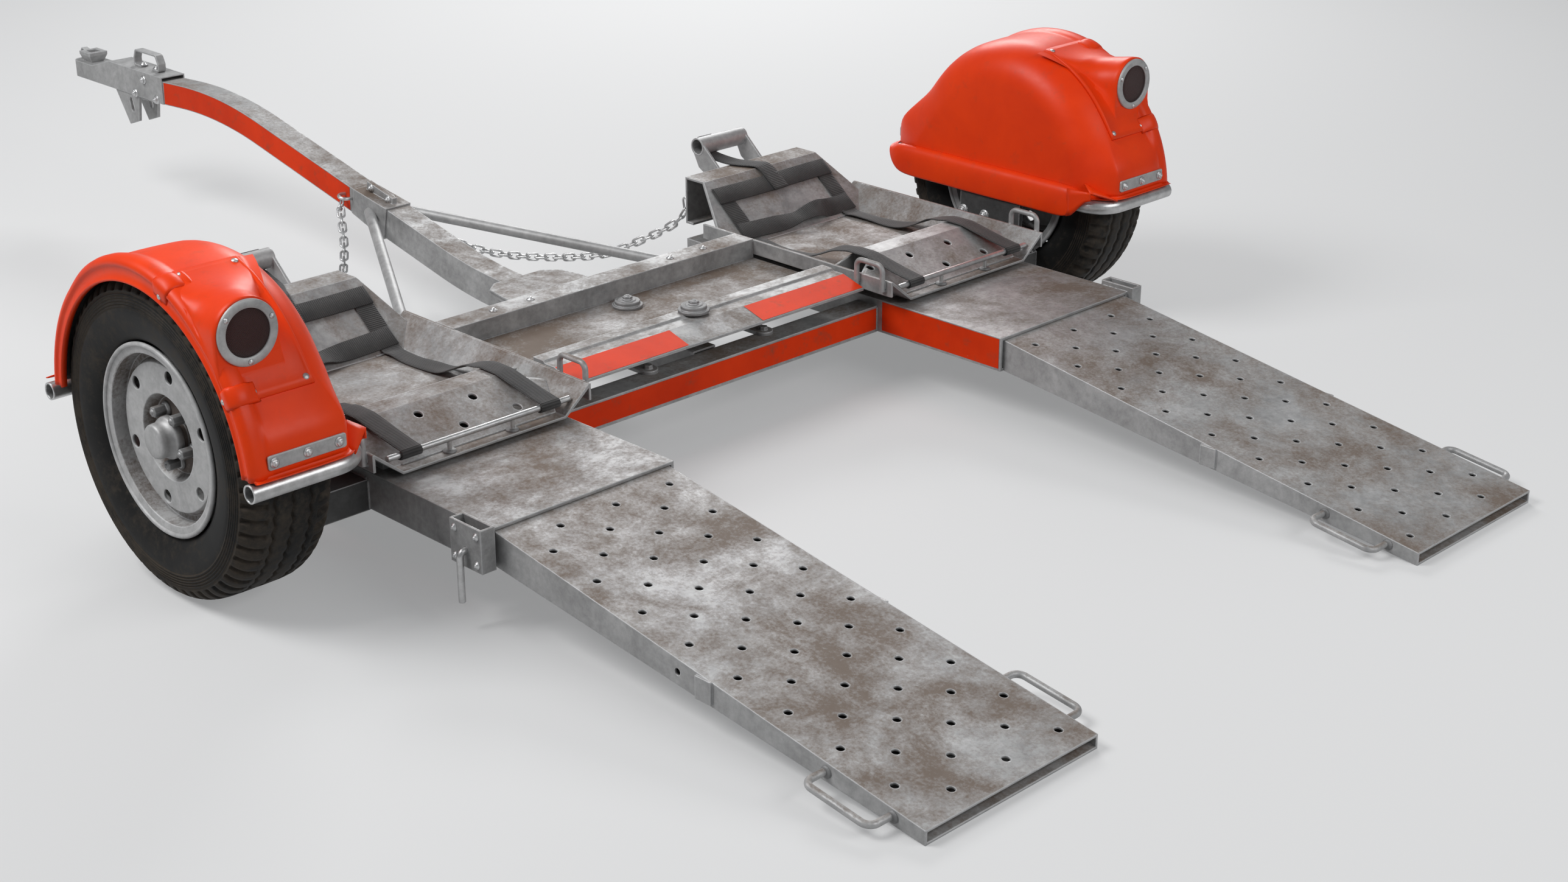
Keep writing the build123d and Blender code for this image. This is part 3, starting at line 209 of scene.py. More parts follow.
def galvanised(name, light=0.47, dark=0.25, dirt=0.5, dirt_top=0.35, metal=0.38, rough=0.52,
               stain=(0.115, 0.075, 0.048), rings=()):
    """Dull zinc with soft mottling, brown dirt that gathers on level faces, and bright edges,
    partly worn zinc and partly a painted highlight.
    """
    mat = Shader(name)
    cloud = mat.noise(8, 8, 0.70, 0.3)
    fine = mat.noise(60, 5, 0.7)
    base = mat.ramp(cloud, (0.30, dark), (0.50, (light + dark) / 2), (0.68, light))
    speck = mat.ramp(fine, (0.35, 0.72), (0.60, 1))
    mottled = mat.mix(0.75, base, speck, "MULTIPLY")
    patch = mat.noise(5.2, 9, 0.72, 0.3)
    grain = mat.noise(150, 3, 0.7)
    level_face = mat.split(mat.normal())[2].math("MAXIMUM", 0)
    amount = patch + (grain - 0.5) * 0.30 + level_face * dirt_top
    if rings:
        amount = amount + mat.ramp(mat.wheel_radius(), *rings)
    dirt_mask = mat.ramp(amount, (1.02 - 0.5 * dirt, 0), (1.26 - 0.5 * dirt, 0.85))
    edges, rounded = mat.edges(0.0035)
    # Bright edges: partly worn zinc, partly a painted highlight along the sharp edges.
    edge_mask = edges.math("MULTIPLY", mat.noise(38, 4, 0.65) * 14, clamp=True) * 0.8
    clean = mat.math("SUBTRACT", 1, dirt_mask, clamp=True)
    return mat.finish({
        "Base Color": mat.mix(edge_mask, mat.mix(dirt_mask, mottled, stain), (0.72, 0.73, 0.74)),
        "Metallic": clean * metal,
        "Roughness": (fine * 0.22 + dirt_mask * 0.35).math("ADD", rough - 0.11, clamp=True),
        "Normal": mat.bump(fine, 0.25, 0.0006, rounded)})


def paint(name, colour, dark, rough, dirt, coat, shine, chip=None):
    """Paint with slight fading, patches of dust and, where chip is given, worn edges."""
    mat = Shader(name)
    base = mat.ramp(mat.noise(4, 5, 0.6, 0.3), (0.28, dark), (0.62, colour))
    dust = mat.ramp(mat.noise(26, 6, 0.7), (0.56, 0), (0.80, dirt))
    shown = mat.mix(dust, base, (0.20, 0.07, 0.04))
    edges, rounded = mat.edges(0.003)
    if chip is not None:
        edge_mask = edges.math("MULTIPLY", mat.noise(70, 4, 0.7) * 12, clamp=True)
        scratch = mat.ramp(mat.noise(55, 7, 0.8, 1.2), (0.70, 0), (0.74, 0.8))
        shown = mat.mix(edge_mask.math("MAXIMUM", scratch), shown, chip)
    fine = mat.noise(90, 4, 0.6)
    return mat.finish({
        "Base Color": shown, "Roughness": fine * 0.16 + (rough - 0.08),
        "Coat Weight": coat, "Coat Roughness": 0.30, "Specular IOR Level": shine,
        "Normal": mat.bump(fine, 0.08, 0.0005, rounded)})


def rubber(name):
    """Black rubber with dust in bands and fine rings round the wheel."""
    mat = Shader(name)
    cloud = mat.noise(9, 6, 0.65, 0.4)
    fine = mat.noise(60, 6, 0.75)
    base = mat.ramp(cloud, (0.35, 0.004), (0.65, (0.010, 0.0097, 0.0094)))
    radius = mat.wheel_radius()
    band = mat.ramp(radius, (0.46, 0), (0.60, 0), (0.62, 0.14), (0.68, 0.12), (0.72, 0.14),
                    (0.745, 0.12), (0.752, 0.05))
    ring = (radius * (WHEEL_SHARE / RIB_PITCH * TURN)).math("SINE") * 0.12
    ribbed = mat.ramp(radius, (0.605, 0), (0.612, 1), (0.678, 1), (0.685, 0))
    dust = mat.ramp(fine * 0.55 + cloud * 0.45 + (band + ring * ribbed), (0.50, 0), (0.70, 0.5))
    return mat.finish({
        "Base Color": mat.mix(dust, base, (0.095, 0.075, 0.056)),
        "Roughness": (dust * 0.4).math("ADD", 0.58, clamp=True),
        "Specular IOR Level": 0.22, "Normal": mat.bump(fine, 0.2, 0.0006)})


def webbing(name):
    """Black ribbed strap. The UV map runs along the strap in u and across it in v, in metres."""
    mat = Shader(name)
    along, across, _ = mat.split(mat.node("UVMap", {}, "UV"))
    weave = (along * 1400).math("SINE") + (across * 2600).math("SINE") * 0.35
    base = mat.ramp(mat.noise(14, 5, 0.6), (0.3, (0.016, 0.016, 0.017)),
                    (0.72, (0.042, 0.041, 0.040)))
    shade = mat.ramp(weave * 0.4 + 0.5, (0.1, 0.55), (0.8, 1.25))
    return mat.finish({
        "Base Color": mat.mix(1, base, shade, "MULTIPLY"), "Roughness": 0.82,
        "Sheen Weight": 0.15, "Normal": mat.bump(weave, 0.6, 0.0006)})


def mesh_lens(name):
    """Dark red lens behind a fine square mesh."""
    mat = Shader(name)
    x, _, z = mat.split(mat.place)
    cells = (x * 2100).math("SINE") * (z * 2100).math("SINE")
    return mat.finish({
        "Base Color": mat.ramp(cells * 0.5 + 0.5, (0.25, (0.012, 0.006, 0.006)),
                               (0.8, (0.075, 0.022, 0.020))),
        "Roughness": 0.38, "Normal": mat.bump(cells, 0.8, 0.0012)})


zinc = galvanised("zinc")
zinc_clean = galvanised("zinc_clean", light=0.50, dark=0.32, dirt=0.24, dirt_top=0.15)
zinc_dirty = galvanised("zinc_dirty", dirt=0.62, dirt_top=0.37)
zinc_ramp = galvanised(
    "zinc_ramp", light=0.50, dark=0.30, dirt=0.58, dirt_top=0.36, metal=0.28, rough=0.42)
zinc_dark = galvanised(
    "zinc_dark", light=0.28, dark=0.13, dirt=0.45, dirt_top=0.25, metal=0.35, rough=0.55)
zinc_bright = galvanised(
    "zinc_bright", light=0.66, dark=0.46, dirt=0.10, dirt_top=0.05, metal=0.8, rough=0.34)
orange = paint("orange_gloss", (0.86, 0.052, 0.003), (0.72, 0.036, 0.003), rough=0.42,
               dirt=0.28, coat=0.06, shine=0.2)
stripe_red = paint("stripe_red", (0.74, 0.044, 0.005), (0.56, 0.030, 0.004), rough=0.5,
                   dirt=0.75, coat=0, shine=0.1, chip=(0.36, 0.34, 0.32))
wheel_grey = galvanised(
    "wheel_grey", light=0.56, dark=0.36, dirt=0.42, dirt_top=0, metal=0.15, rough=0.5,
    stain=(0.085, 0.055, 0.038),
    rings=((0, 0.60), (0.175, 0.55), (0.215, 0.10), (0.25, 0), (0.335, 0.05), (0.36, 0.38),
           (0.395, 0.42), (0.412, 0.12), (0.44, 0)))
arm_dark = galvanised(
    "arm_dark", light=0.10, dark=0.045, dirt=0.5, dirt_top=0.2, metal=0.3, rough=0.6,
    stain=(0.05, 0.035, 0.025))
inside = galvanised(
    "fender_inside", light=0.075, dark=0.035, dirt=0.7, metal=0, rough=0.8,
    stain=(0.045, 0.032, 0.024))
black_rubber = rubber("tyre_rubber")
black_webbing = webbing("webbing_black")
red_lens = mesh_lens("lamp_mesh")


# Mesh helpers. A shape is (verts, faces), with its verts in metres.

def make(name, shape, material, body, slot, smooth=True, bevel=0):
    verts, faces = shape
    mesh = bpy.data.meshes.new(name)
    mesh.from_pydata([tuple(v) for v in verts], [], faces)
    mesh.update()
    for polygon in mesh.polygons:
        polygon.use_smooth = smooth
    mesh.materials.append(material)
    obj = link(name, mesh)
    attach(obj, body)
    if bevel:
        modifier = obj.modifiers.new("bevel", "BEVEL")
        modifier.width = bevel * MM
        modifier.segments = 2
        modifier.limit_method = "ANGLE"
        modifier.angle_limit = radians(35)
    return obj


def flipped(faces):
    return [tuple(reversed(face)) for face in faces]


def mirrored(shape):
    verts, faces = shape
    return [Vector((-v.x, v.y, v.z)) for v in verts], flipped(faces)


def pair(name, shape, material, slot="galvanised", bodies=("frame", "frame"), node=None,
         **options):
    """The piece and its mirror image, which replace a pair of CAD nodes where node is given."""
    made = []
    for side, body, sided in zip(SIDES, bodies, (shape, mirrored(shape))):
        obj = make(f"{name}_{side}", sided, material, body, slot, **options)
        if node:
            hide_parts(f"{node}_{side}")
        made.append(obj)
    return made


def thicken(obj, thickness):
    """Give a sheet its thickness, behind its face."""
    solid = obj.modifiers.new("sheet", "SOLIDIFY")
    solid.thickness = thickness * MM
    solid.offset = -1
    return solid


def grid_faces(rows, columns, close_rows=False, close_columns=False):
    faces = []
    for i in range(rows if close_rows else rows - 1):
        for j in range(columns if close_columns else columns - 1):
            here, there = i * columns, (i + 1) % rows * columns
            after = (j + 1) % columns
            faces.append((here + j, here + after, there + after, there + j))
    return faces


def closed_faces(rows, sides):
    """Faces of rows of points round an axis, with a cap on each end."""
    return grid_faces(rows, sides, close_columns=True) + [
        tuple(range(sides - 1, -1, -1)), tuple(range((rows - 1) * sides, rows * sides))]


def join(*shapes):
    verts, faces = [], []
    for part_verts, part_faces in shapes:
        offset = len(verts)
        verts.extend(part_verts)
        faces.extend(tuple(i + offset for i in face) for face in part_faces)
    return verts, faces


def frame_of(along):
    """Unit vector along a line, and two unit vectors square to it."""
    along = Vector(along).normalized()
    side = along.cross(Vector(UP))
    if side.length < 0.1:
        side = along.cross(Vector(FORWARD))
    side.normalize()
    return along, side, along.cross(side)


def spokes(side, up, count, turn=0):
    for k in range(count):
        angle = TURN * k / count + turn
        yield side * cos(angle) + up * sin(angle)


def direction_at(line, i):
    return (line[min(i + 1, len(line) - 1)] - line[max(i - 1, 0)]).normalized()


def running_lengths(line):
    lengths = [0]
    for before, after in zip(line, line[1:]):
        lengths.append(lengths[-1] + (after - before).length)
    return lengths


def catmull(points, per_span):
    """Smooth line through points, with per_span steps between neighbours."""
    result = []
    count = len(points)
    for i in range(count - 1):
        p0 = points[max(i - 1, 0)]
        p1, p2 = points[i], points[i + 1]
        p3 = points[min(i + 2, count - 1)]
        for step in range(per_span):
            t = step / per_span
            result.append(0.5 * ((2 * p1) + (p2 - p0) * t + (2 * p0 - 5 * p1 + 4 * p2 - p3) * t * t
                                 + (3 * p1 - p0 - 3 * p2 + p3) * t * t * t))
    result.append(points[-1].copy())
    return result


def tube(points, radius, sides, closed=False):
    """Round rod along places in the frame, with capped ends unless it is closed."""
    count = len(points)
    verts = []
    _, side, _ = frame_of(points[1] - points[0])
    for i in range(count):
        along = ((points[(i + 1) % count] - points[i - 1]).normalized() if closed
                 else direction_at(points, i))
        side = (side - along * side.dot(along)).normalized()
        for spoke in spokes(side, along.cross(side), sides):
            verts.append(points[i] + spoke * radius)
    if closed:
        return verts, grid_faces(count, sides, close_rows=True, close_columns=True)
    return verts, closed_faces(count, sides)


def lathe(centre, along, profile, sides=24, capped=True):
    """Turned shape. The profile is (distance along the axis, radius) in mm from the centre."""
    axis, side, up = frame_of(along)
    verts = [centre + axis * distance * MM + spoke * radius * MM
             for distance, radius in profile for spoke in spokes(side, up, sides)]
    if capped:
        return verts, closed_faces(len(profile), sides)
    return verts, grid_faces(len(profile), sides, close_columns=True)


def hex_bolt(centre, along, size, height, turn, washer=True):
    """Hex head on a washer, with a stub of thread. The size is its corners' radius in mm."""
    axis, side, up = frame_of(along)
    head = [centre + axis * distance * MM + spoke * size * scale * MM
            for distance, scale in ((-0.5, 1), (height - 1.2, 1), (height, 0.86))
            for spoke in spokes(side, up, 6, turn)]
    thread = [(height - 1, size * 0.45), (height + 2.2, size * 0.45), (height + 2.8, size * 0.36)]
    shapes = [(head, closed_faces(3, 6)), lathe(centre, along, thread, 14)]
    if washer:
        disc = [(-0.5, size * 1.25), (1.6, size * 1.25), (2, size * 1.15)]
        shapes.insert(0, lathe(centre, along, disc))
    return join(*shapes)


# CAD nodes that stay, with their materials

def dress(material, *names):
    for name in names:
        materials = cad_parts[name].data.materials
        materials.clear()
        materials.append(material)


def both(*names):
    return [f"{name}_{side}" for name in names for side in SIDES]


dress(zinc, "rear_beam", "front_beam", "tongue_rear_tube", "tongue_front_tube",
      "tongue_collar", "deck_edge", *both("ramp_sleeve", "pan_wedge", "deck_tab"))
dress(zinc_dirty, "deck_plate", *both("pan", "front_stop"))
dress(zinc_ramp, *both("ramp"))
dress(zinc_clean, "coupler", "coupler_cup", "coupler_latch", "coupler_grip",
      *both("coupler_tab", "tongue_brace", "strap_roller"))
dress(zinc_bright, *both("strap_rod", "fender_bar_rear", "fender_bar_front", "lock_pin",
                        "safety_chain"))
dress(zinc_dark, "front_pivot_disc", "rear_pivot_disc")
dress(arm_dark, *both("axle_arm"))
dress(wheel_grey, *both("rim"))
dress(orange, *both("fender", "lamp_hood"))
dress(red_lens, *both("lamp"))
dress(black_webbing, *both("webbing_net"))
dress(black_rubber, *both("tyre"))


# Tyres: ribbed sidewalls, shoulder lugs and three wavy grooves

LUGS = 60
SLOT_SLOPE, SLOT_FLOOR_END, SLOT_END = 0.06, 0.33, 0.39
LUG_PHASES = (0, SLOT_SLOPE, 0.19, SLOT_FLOOR_END, SLOT_END, 0.59, 0.80)
GROOVES = (37, 0, -37)
wheel_bodies = ("wheel_right", "wheel_left")


def lug_cut(phase):
    """1 in the slot between two lugs, 0 on a lug. Phase runs from 0 to 1 over one pitch."""
    phase = phase % 1
    if phase < SLOT_SLOPE:
        return phase / SLOT_SLOPE
    if phase <= SLOT_FLOOR_END:
        return 1
    return (SLOT_END - phase) / SLOT_SLOPE if phase < SLOT_END else 0


def tyre_section():
    """Columns over the tyre from outer bead to inner bead: (x, radius, lug depth, sway)."""
    wall = [(73, 182), (78, 186), (84, 196), (88.5, 209), (91.5, 222), (93.2, 234), (93.8, 243)]
    for k in range(5):
        x, r = 92.8 - 0.125 * k * k, 246 + k * RIB_PITCH
        wall += [(x, r), (x + 2, r + 1.2), (x + 2, r + 2.4), (x, r + 3.6)]
    lugs = [(90.6, 278, 5), (88.8, 281.5, 7), (86, 286, 7.5), (82, 290.4, 7.5), (76.5, 294.8, 7.5),
            (70, 298.2, 7.5), (62, 300.6, 7), (51.5, 301.7, 5)]
    half = [(x, r, 0, 0) for x, r in wall + [(91, 274.5), (91.6, 276)]]
    half += [(x, r, depth, 0) for x, r, depth in lugs] + [(49.5, 301.9, 0, 0.5)]
    tread = []
    for groove in GROOVES:
        tread += [(groove + x, r, 0, 1)
                  for x, r in ((3.9, 302.3), (3, 294.5), (-3, 294.5), (-3.9, 302.3))]
        if groove != GROOVES[-1]:
            tread += [(groove - x, 302.5, 0, sway)
                      for x, sway in ((12, 0.6), (18.5, 0.4), (25, 0.6))]
    return half + tread + [(-x, r, depth, sway) for x, r, depth, sway in reversed(half)]


def tyre_mesh():
    columns = tyre_section()
    normals = []
    for i in range(len(columns)):
        x0, r0 = columns[max(i - 1, 0)][:2]
        x1, r1 = columns[min(i + 1, len(columns) - 1)][:2]
        length = hypot(x1 - x0, r1 - r0)
        normals.append(((r1 - r0) / length, -(x1 - x0) / length))
    verts = []
    for lug in range(LUGS):
        for phase in LUG_PHASES:
            turn = TURN * (lug + phase) / LUGS
            for (x, r, depth, sway), (nx, nr) in zip(columns, normals):
                shift = 0 if x >= 0 else 0.5
                cut = depth * lug_cut(phase + shift)
                slant = 0.16 * max(0, 84 - abs(x)) / 30 if depth else 0
                wave = 2.4 * sin(TURN * (phase + 0.25 * shift)) * sway
                verts.append(wheel_at(WHEEL_X + x + wave - nx * cut, r - nr * cut,
                                      turn + slant * TURN / LUGS))
    return verts, grid_faces(LUGS * len(LUG_PHASES), len(columns), close_rows=True)


def wheel_at(x, radius, angle):
    radius *= MM
    return Vector((x * MM, AXLE_Y + cos(angle) * radius,
                   WHEEL_Z * MM + sin(angle) * radius))


pair("tyre_skin", tyre_mesh(), black_rubber, "tyre_rubber", wheel_bodies, "tyre")


# Wheels: rolled rim lip, nuts with washers, stud ends and the hub's cap

hub_centre = Vector((0, AXLE_Y, WHEEL_Z * MM))
rim_lips = [tube([wheel_at(x, 176.6, TURN * k / 96) for k in range(96)], 4.6 * MM, 10, closed=True)
            for x in (1229.5, 1070.5)]
pair("rim_lip", join(*rim_lips), wheel_grey, "wheel_paint", wheel_bodies)
gutter_profile = [(1228, 175), (1221, 167), (1214, 162.5), (1208, 161), (1196, 159.8)]
pair("rim_gutter", lathe(hub_centre, OUTWARD, gutter_profile, 96, capped=False), wheel_grey,
     "wheel_paint", wheel_bodies)
nuts = []
for k in range(5):
    angle = radians(54 + 72 * k)
    foot = wheel_at(1188.5, 52, angle)
    nuts.append(hex_bolt(foot, OUTWARD, 10.6, 30, angle))
    nuts.append(lathe(foot, OUTWARD, [(-0.3, 14.2), (3.2, 14.2), (5, 12)], 20))
pair("wheel_nut", join(*nuts), zinc_dark, "dark_steel", wheel_bodies, bevel=0.7)
cap_profile = [(1200, 39.6), (1211, 39.6), (1214.5, 38), (1215.5, 33.4), (1229, 32.6),
               (1236.4, 32), (1239.2, 30.4), (1240.6, 27.2), (1241.2, 14), (1241.3, 5)]
pair("hub_cap", lathe(hub_centre, OUTWARD, cap_profile, 48), zinc_clean, bodies=wheel_bodies)


# Fenders: one moulded shell with a rolled outer ring

CROWN = (-16, 340)  # middle of the crown's arc
CROWN_RADIUS, INNER_RADIUS = 308, 212
FRONT_Y, REAR_Y, FOOT_Z = 334, -346, 335
ARCH_Y, ARCH_Z = -18, 305  # middle of the wheel arch
RING_RADIUS = 333.5
PANEL_X = 1022


def side_outline():
    """Crown line (y, z) from the front foot to the rear foot, and the matching inner line."""
    outer, inner = [], []
    def run(a, b, c, d, steps):
        for k in range(steps):
            outer.append(lerp_point(a, b, k / steps))
            inner.append(lerp_point(c, d, k / steps))

    start, end, arc_steps = 29.15, 149.85, 56
    front_in, rear_in = FRONT_Y - 96, REAR_Y + 96
    front_low, rear_low = polar(*CROWN, INNER_RADIUS, start), polar(*CROWN, INNER_RADIUS, end)
    run((FRONT_Y, FOOT_Z), (FRONT_Y, 395), (front_in, FOOT_Z), (front_in, 363), 5)
    run((FRONT_Y, 395), polar(*CROWN, CROWN_RADIUS, start), (front_in, 363),
        (front_low[0] + 20, front_low[1] - 12), 9)
    for k in range(arc_steps):
        degrees = lerp(start, end, k / arc_steps)
        outer.append(polar(*CROWN, CROWN_RADIUS, degrees))
        inner.append(polar(*CROWN, INNER_RADIUS, degrees))
    run(polar(*CROWN, CROWN_RADIUS, end), (REAR_Y, 395), (rear_low[0] - 20, rear_low[1] - 12),
        (rear_in, 363), 9)
    run((REAR_Y, 395), (REAR_Y, FOOT_Z), (rear_in, 363), (rear_in, FOOT_Z), 5)
    outer.append((REAR_Y, FOOT_Z))
    inner.append((rear_in, FOOT_Z))
    return relax(outer), relax(inner)


def relax(points, rounds=3, keep=3):
    """Smooth a line, apart from the points at its ends."""
    for _ in range(rounds):
        middle = [tuple((p + 2 * q + r) / 4 for p, q, r in zip(*points[i - 1:i + 2]))
                  for i in range(keep, len(points) - keep)]
        points = points[:keep] + middle + points[-keep:]
    return points


outer_line, inner_line = side_outline()
STEPS = len(outer_line)
REAR_HALF = range(STEPS // 2, STEPS)


def from_arch(index):
    """Distance and unit direction from the arch's middle to the crown line."""
    y, z = outer_line[index]
    away = hypot(y - ARCH_Y, z - ARCH_Z)
    return away, (y - ARCH_Y) / away, (z - ARCH_Z) / away


def arch_point(index, radius):
    _, along_y, along_z = from_arch(index)
    return ARCH_Y + along_y * radius, ARCH_Z + along_z * radius


def ring_point(index, offset):
    """Point of the outer ring at this step, offset mm out from the ring's ridge."""
    ridge = max(RING_RADIUS, min(from_arch(index)[0], 343))
    ridge = lerp(RING_RADIUS, ridge, smooth_step((outer_line[index][1] - 470) / 120))
    return arch_point(index, ridge + offset)


def crown_point(index, depth, lift=0):
    """Point at a share of the way from the crown line to the inner line. The crown is sunk a
    little under its line, so that the outer ring stands proud."""
    outer, inner = outer_line[index], inner_line[index]
    sink = 6 * smooth_step((outer[1] - 395) / 90)
    length = hypot(inner[0] - outer[0], inner[1] - outer[1])
    return lerp_point(outer, inner, depth + (sink - lift) / length * (1 - depth))


def shoulder(index):
    """Width and squareness of the roll from the crown into the inner panel."""
    rise = smooth_step((outer_line[index][1] - 400) / 150)
    return lerp(46, 92, rise), lerp(1.35, 2, rise)


def crown_surface(index, x, lift=0):
    """Point on the shell's crown and inner roll at this x, lifted off it."""
    width, power = shoulder(index)
    a = max(0, 1 - (x - PANEL_X) / width)
    b = (1 - a ** power) ** (1 / power)
    return crown_point(index, 1 - b, lift / b)


RING_LIP = ((1224, -1.8), (1231, 0), (1243, 0), (1251, -2.2), (1256.5, -7),
            (1258.5, -12), (1257.8, -16), (1255.5, -18.5))
ARCH_LIP = ((1255.5, 304.5), (1257.6, 302.5), (1258.6, 300), (1257.6, 297.8), (1254, 297),
            (1247, 298))


def shell_row(index):
    """The shell's section at this step, from the inner panel over the crown to the arch's lip."""
    width, power = shoulder(index)
    row = []
    for k in range(13):
        angle = pi / 2 * k / 12
        a = cos(angle) ** (2 / power)
        b = sin(angle) ** (2 / power)
        row.append((PANEL_X + width * (1 - a), *crown_point(index, 1 - b)))
    for x in (1128, 1150, 1176, 1200, 1209):
        camber = 1.2 * sin(pi * (x - 1110) / 120)
        row.append((max(x, PANEL_X + width + 2), *crown_point(index, 0, camber)))
    base, ridge = crown_point(index, 0), ring_point(index, 0)
    row += [(x, *lerp_point(base, ridge, share)) for x, share in ((1215, 0.12), (1219.5, 0.55))]
    row += [(x, *ring_point(index, offset)) for x, offset in RING_LIP]
    row += [(x, *arch_point(index, radius)) for x, radius in ARCH_LIP]
    return row


rows = [shell_row(i) for i in range(STEPS)]
columns = len(rows[0])
faces = grid_faces(STEPS, columns) + [tuple(i * columns for i in range(STEPS))]
shell = [at(x, y, max(z, 334)) for row in rows for x, y, z in row], flipped(faces)
for obj in pair("fender_shell", shell, orange, "orange_paint", node="fender"):
    obj.data.materials.append(inside)
    solid = thicken(obj, 3.2)
    solid.material_offset = 1
    solid.material_offset_rim = 0


def sheet(name, rows, thickness, flip=False, node=None):
    """Thin orange sheet from rows of points in mm, on both sides."""
    faces = grid_faces(len(rows), len(rows[0]))
    made = pair(name, ([at(*p) for row in rows for p in row], flipped(faces) if flip else faces),
                orange, "orange_paint", node=node)
    for obj in made:
        thicken(obj, thickness)
    return made


# Foot flange round the shell's foot, rolled down into the apron on the inner side. Its path is
# (x, y, drop), where drop is 0 for the flat flange and 1 for the full apron.
flange_path = [
    (1259, -345, 0), (1150, -346, 0), (1076, -346, 0), (1064, -343, 0), (1052, -318, 0),
    (1034, -280, 0.1), (1025, -262, 0.55),
    *((1022, y, 1) for y in (-246, -200, -130, -66, -58, 20, 92, 100, 180, 250)),
    (1022, 288, 0.9), (1026, 300, 0.4), (1042, 318, 0), (1064, 334, 0), (1150, 334.5, 0),
    (1259, 334, 0)]
FLAT = ((0, 7), (1.6, 3), (5, 0.6), (8, 0), (11.5, 0.4), (13.5, 1.6))
ROLLED = ((0, 18), (6, 17.4), (12, 14), (17, 4), (19, -20), (18, -53))
flange_line = [Vector((x, y, 0)) for x, y, _ in flange_path]
flange_rows = []
for i, (x, y, drop) in enumerate(flange_path):
    along = direction_at(flange_line, i)
    out = Vector(INWARD) if drop >= 1 else Vector((-along.y, along.x, 0))
    proud = 1.6 if -62 < y < 96 and drop >= 1 else 0
    corner = exp(-((abs(y + 6) - 312) / 26) ** 2) if x < 1060 else 0
    row = []
    for (flat_out, flat_z), (rolled_out, rolled_z) in zip(FLAT, ROLLED):
        reach = lerp(flat_out * (1 + 0.9 * corner),
                     rolled_out - 0.4 + (proud if rolled_out > 5 else 0), drop)
        row.append((x + out.x * reach, y + out.y * reach, 332.5 + lerp(flat_z, rolled_z, drop)))
    flange_rows.append(row)
for obj in sheet("fender_flange", flange_rows, 3):
    subdivide = obj.modifiers.new("round", "SUBSURF")
    subdivide.levels = subdivide.render_levels = 2


# Flared corner between the shell's rear foot and the inner apron

wing_rows = []
for k in range(7):
    fold = lerp_point((1022, -284, 366), (1058, -334, 336), k / 6)
    edge = lerp_point((1003, -313, 354), (1054, -355, 334.5), k / 6)
    wing_rows.append([(fold[0] + 4, fold[1] + 7, fold[2] - 2), fold, lerp_point(fold, edge, 0.5),
                      edge, (edge[0] + 1.5, edge[1] + 2, edge[2] - 4)])
sheet("fender_wing", wing_rows, 3)
apron_rows = []
for k in range(6):
    t = k / 5
    foot = lerp(334, 284, smooth_step(t))
    apron_rows.append([(lerp(1003.5, 1003.2, t) - 1.5 * sin(pi * t),
                        lerp(-313, -245, t), lerp(354 - 3 * t, foot, j / 4)) for j in range(5)])
sheet("apron_end", apron_rows, 3, flip=True)


# Hood plate on the crown, with raised edges. Its profile is (x, lift off the crown).

plate_first = next(i for i in REAR_HALF if outer_line[i][0] < -84)
plate_last = next(i for i in REAR_HALF if outer_line[i][1] < 464)
plate_profile = [
    (1091, 0.5), (1092.5, 5.6), (1096, 6.6), (1099.5, 5), (1102, 3.4), (1130, 3.8), (1170, 4),
    (1200, 3.6), (1210, 3.2), (1216, 3.4), (1219, 5.2), (1221.5, 4.6)]


def plate_end(index, dy, dz):
    """Row where an end of the plate meets the crown."""
    points = [(x, *crown_surface(index, x, 0.2)) for x, _ in plate_profile]
    return [(x, y + dy, z + dz) for x, y, z in points]


plate_rows = [plate_end(plate_first, 1.5, 0.2)]
for i in range(plate_first, plate_last + 1):
    end_lift = {0: 2.6, 1: 0.8}.get(min(i - plate_first, plate_last - i), 0)
    plate_rows.append([
        (x, *crown_surface(i, x, max(lift, 3.4 + end_lift) if 1092 < x < 1221 else lift))
        for x, lift in plate_profile])
plate_rows.append(plate_end(plate_last, -0.6, -1.5))
sheet("hood_plate", plate_rows, 1.6, flip=True, node="lamp_hood")


# Lamp pod: arched rows from the lamp's face forward, down into the hood plate

LAMP_X, LAMP_Z = 1196, 568
POD_STEPS = 16


def plate_top(y):
    """Height of the plate's top at this y, between its two ends."""
    nearest = min(REAR_HALF, key=lambda i: abs(outer_line[i][0] - y)
                  + (0 if outer_line[i][1] > 400 else 99))
    return crown_point(nearest, 0, 4)[1]


pod_rows = []
for k in range(POD_STEPS + 1):
    s = k / POD_STEPS
    y = -271 + 178 * s
    half = 62 + 9 * s + 10 * s * s
    centre_x = lerp(LAMP_X, 1166, smooth_step(s))
    ground = plate_top(y)
    low = ground - 4 if k else 476
    top = lerp(630, ground + 1, s ** 1.7)
    spring = max(top - lerp(62, 46, s), low + 2)
    right, left = min(centre_x + half, 1257), centre_x - half
    flare = 7 + 16 * s
    row = [(right + (flare * 0.25) * (1 - m / 4) ** 2, y, lerp(low, spring, m / 4))
           for m in range(5)]
    row += [((right + left) / 2 + (right - left) / 2 * cos(pi * m / 20), y,
             spring + (top - spring) * sin(pi * m / 20)) for m in range(1, 20)]
    row += [(left - flare * (1 - m / 4) ** 2, y, lerp(low, spring, m / 4))
            for m in range(4, -1, -1)]
    pod_rows.append([(min(x, 1261), y, z) for x, y, z in row])
pod_rows[0] = [(x, y - 0.36 * max(0, 512 - z), z) for x, y, z in pod_rows[0]]
pod_rows.insert(0, [(LAMP_X + (x - LAMP_X) * 0.97, y - 1.2, 566 + (z - 566) * 0.975)
                    for x, y, z in pod_rows[0]])
width = len(pod_rows[0])
middle = width // 2
wall = flipped(grid_faces(len(pod_rows), width))
face = [(m, m + 1, width - 2 - m, width - 1 - m) for m in range(middle - 1)]
face.append((middle - 1, middle, middle + 1))
pod = [at(*p) for row in pod_rows for p in row], wall + face
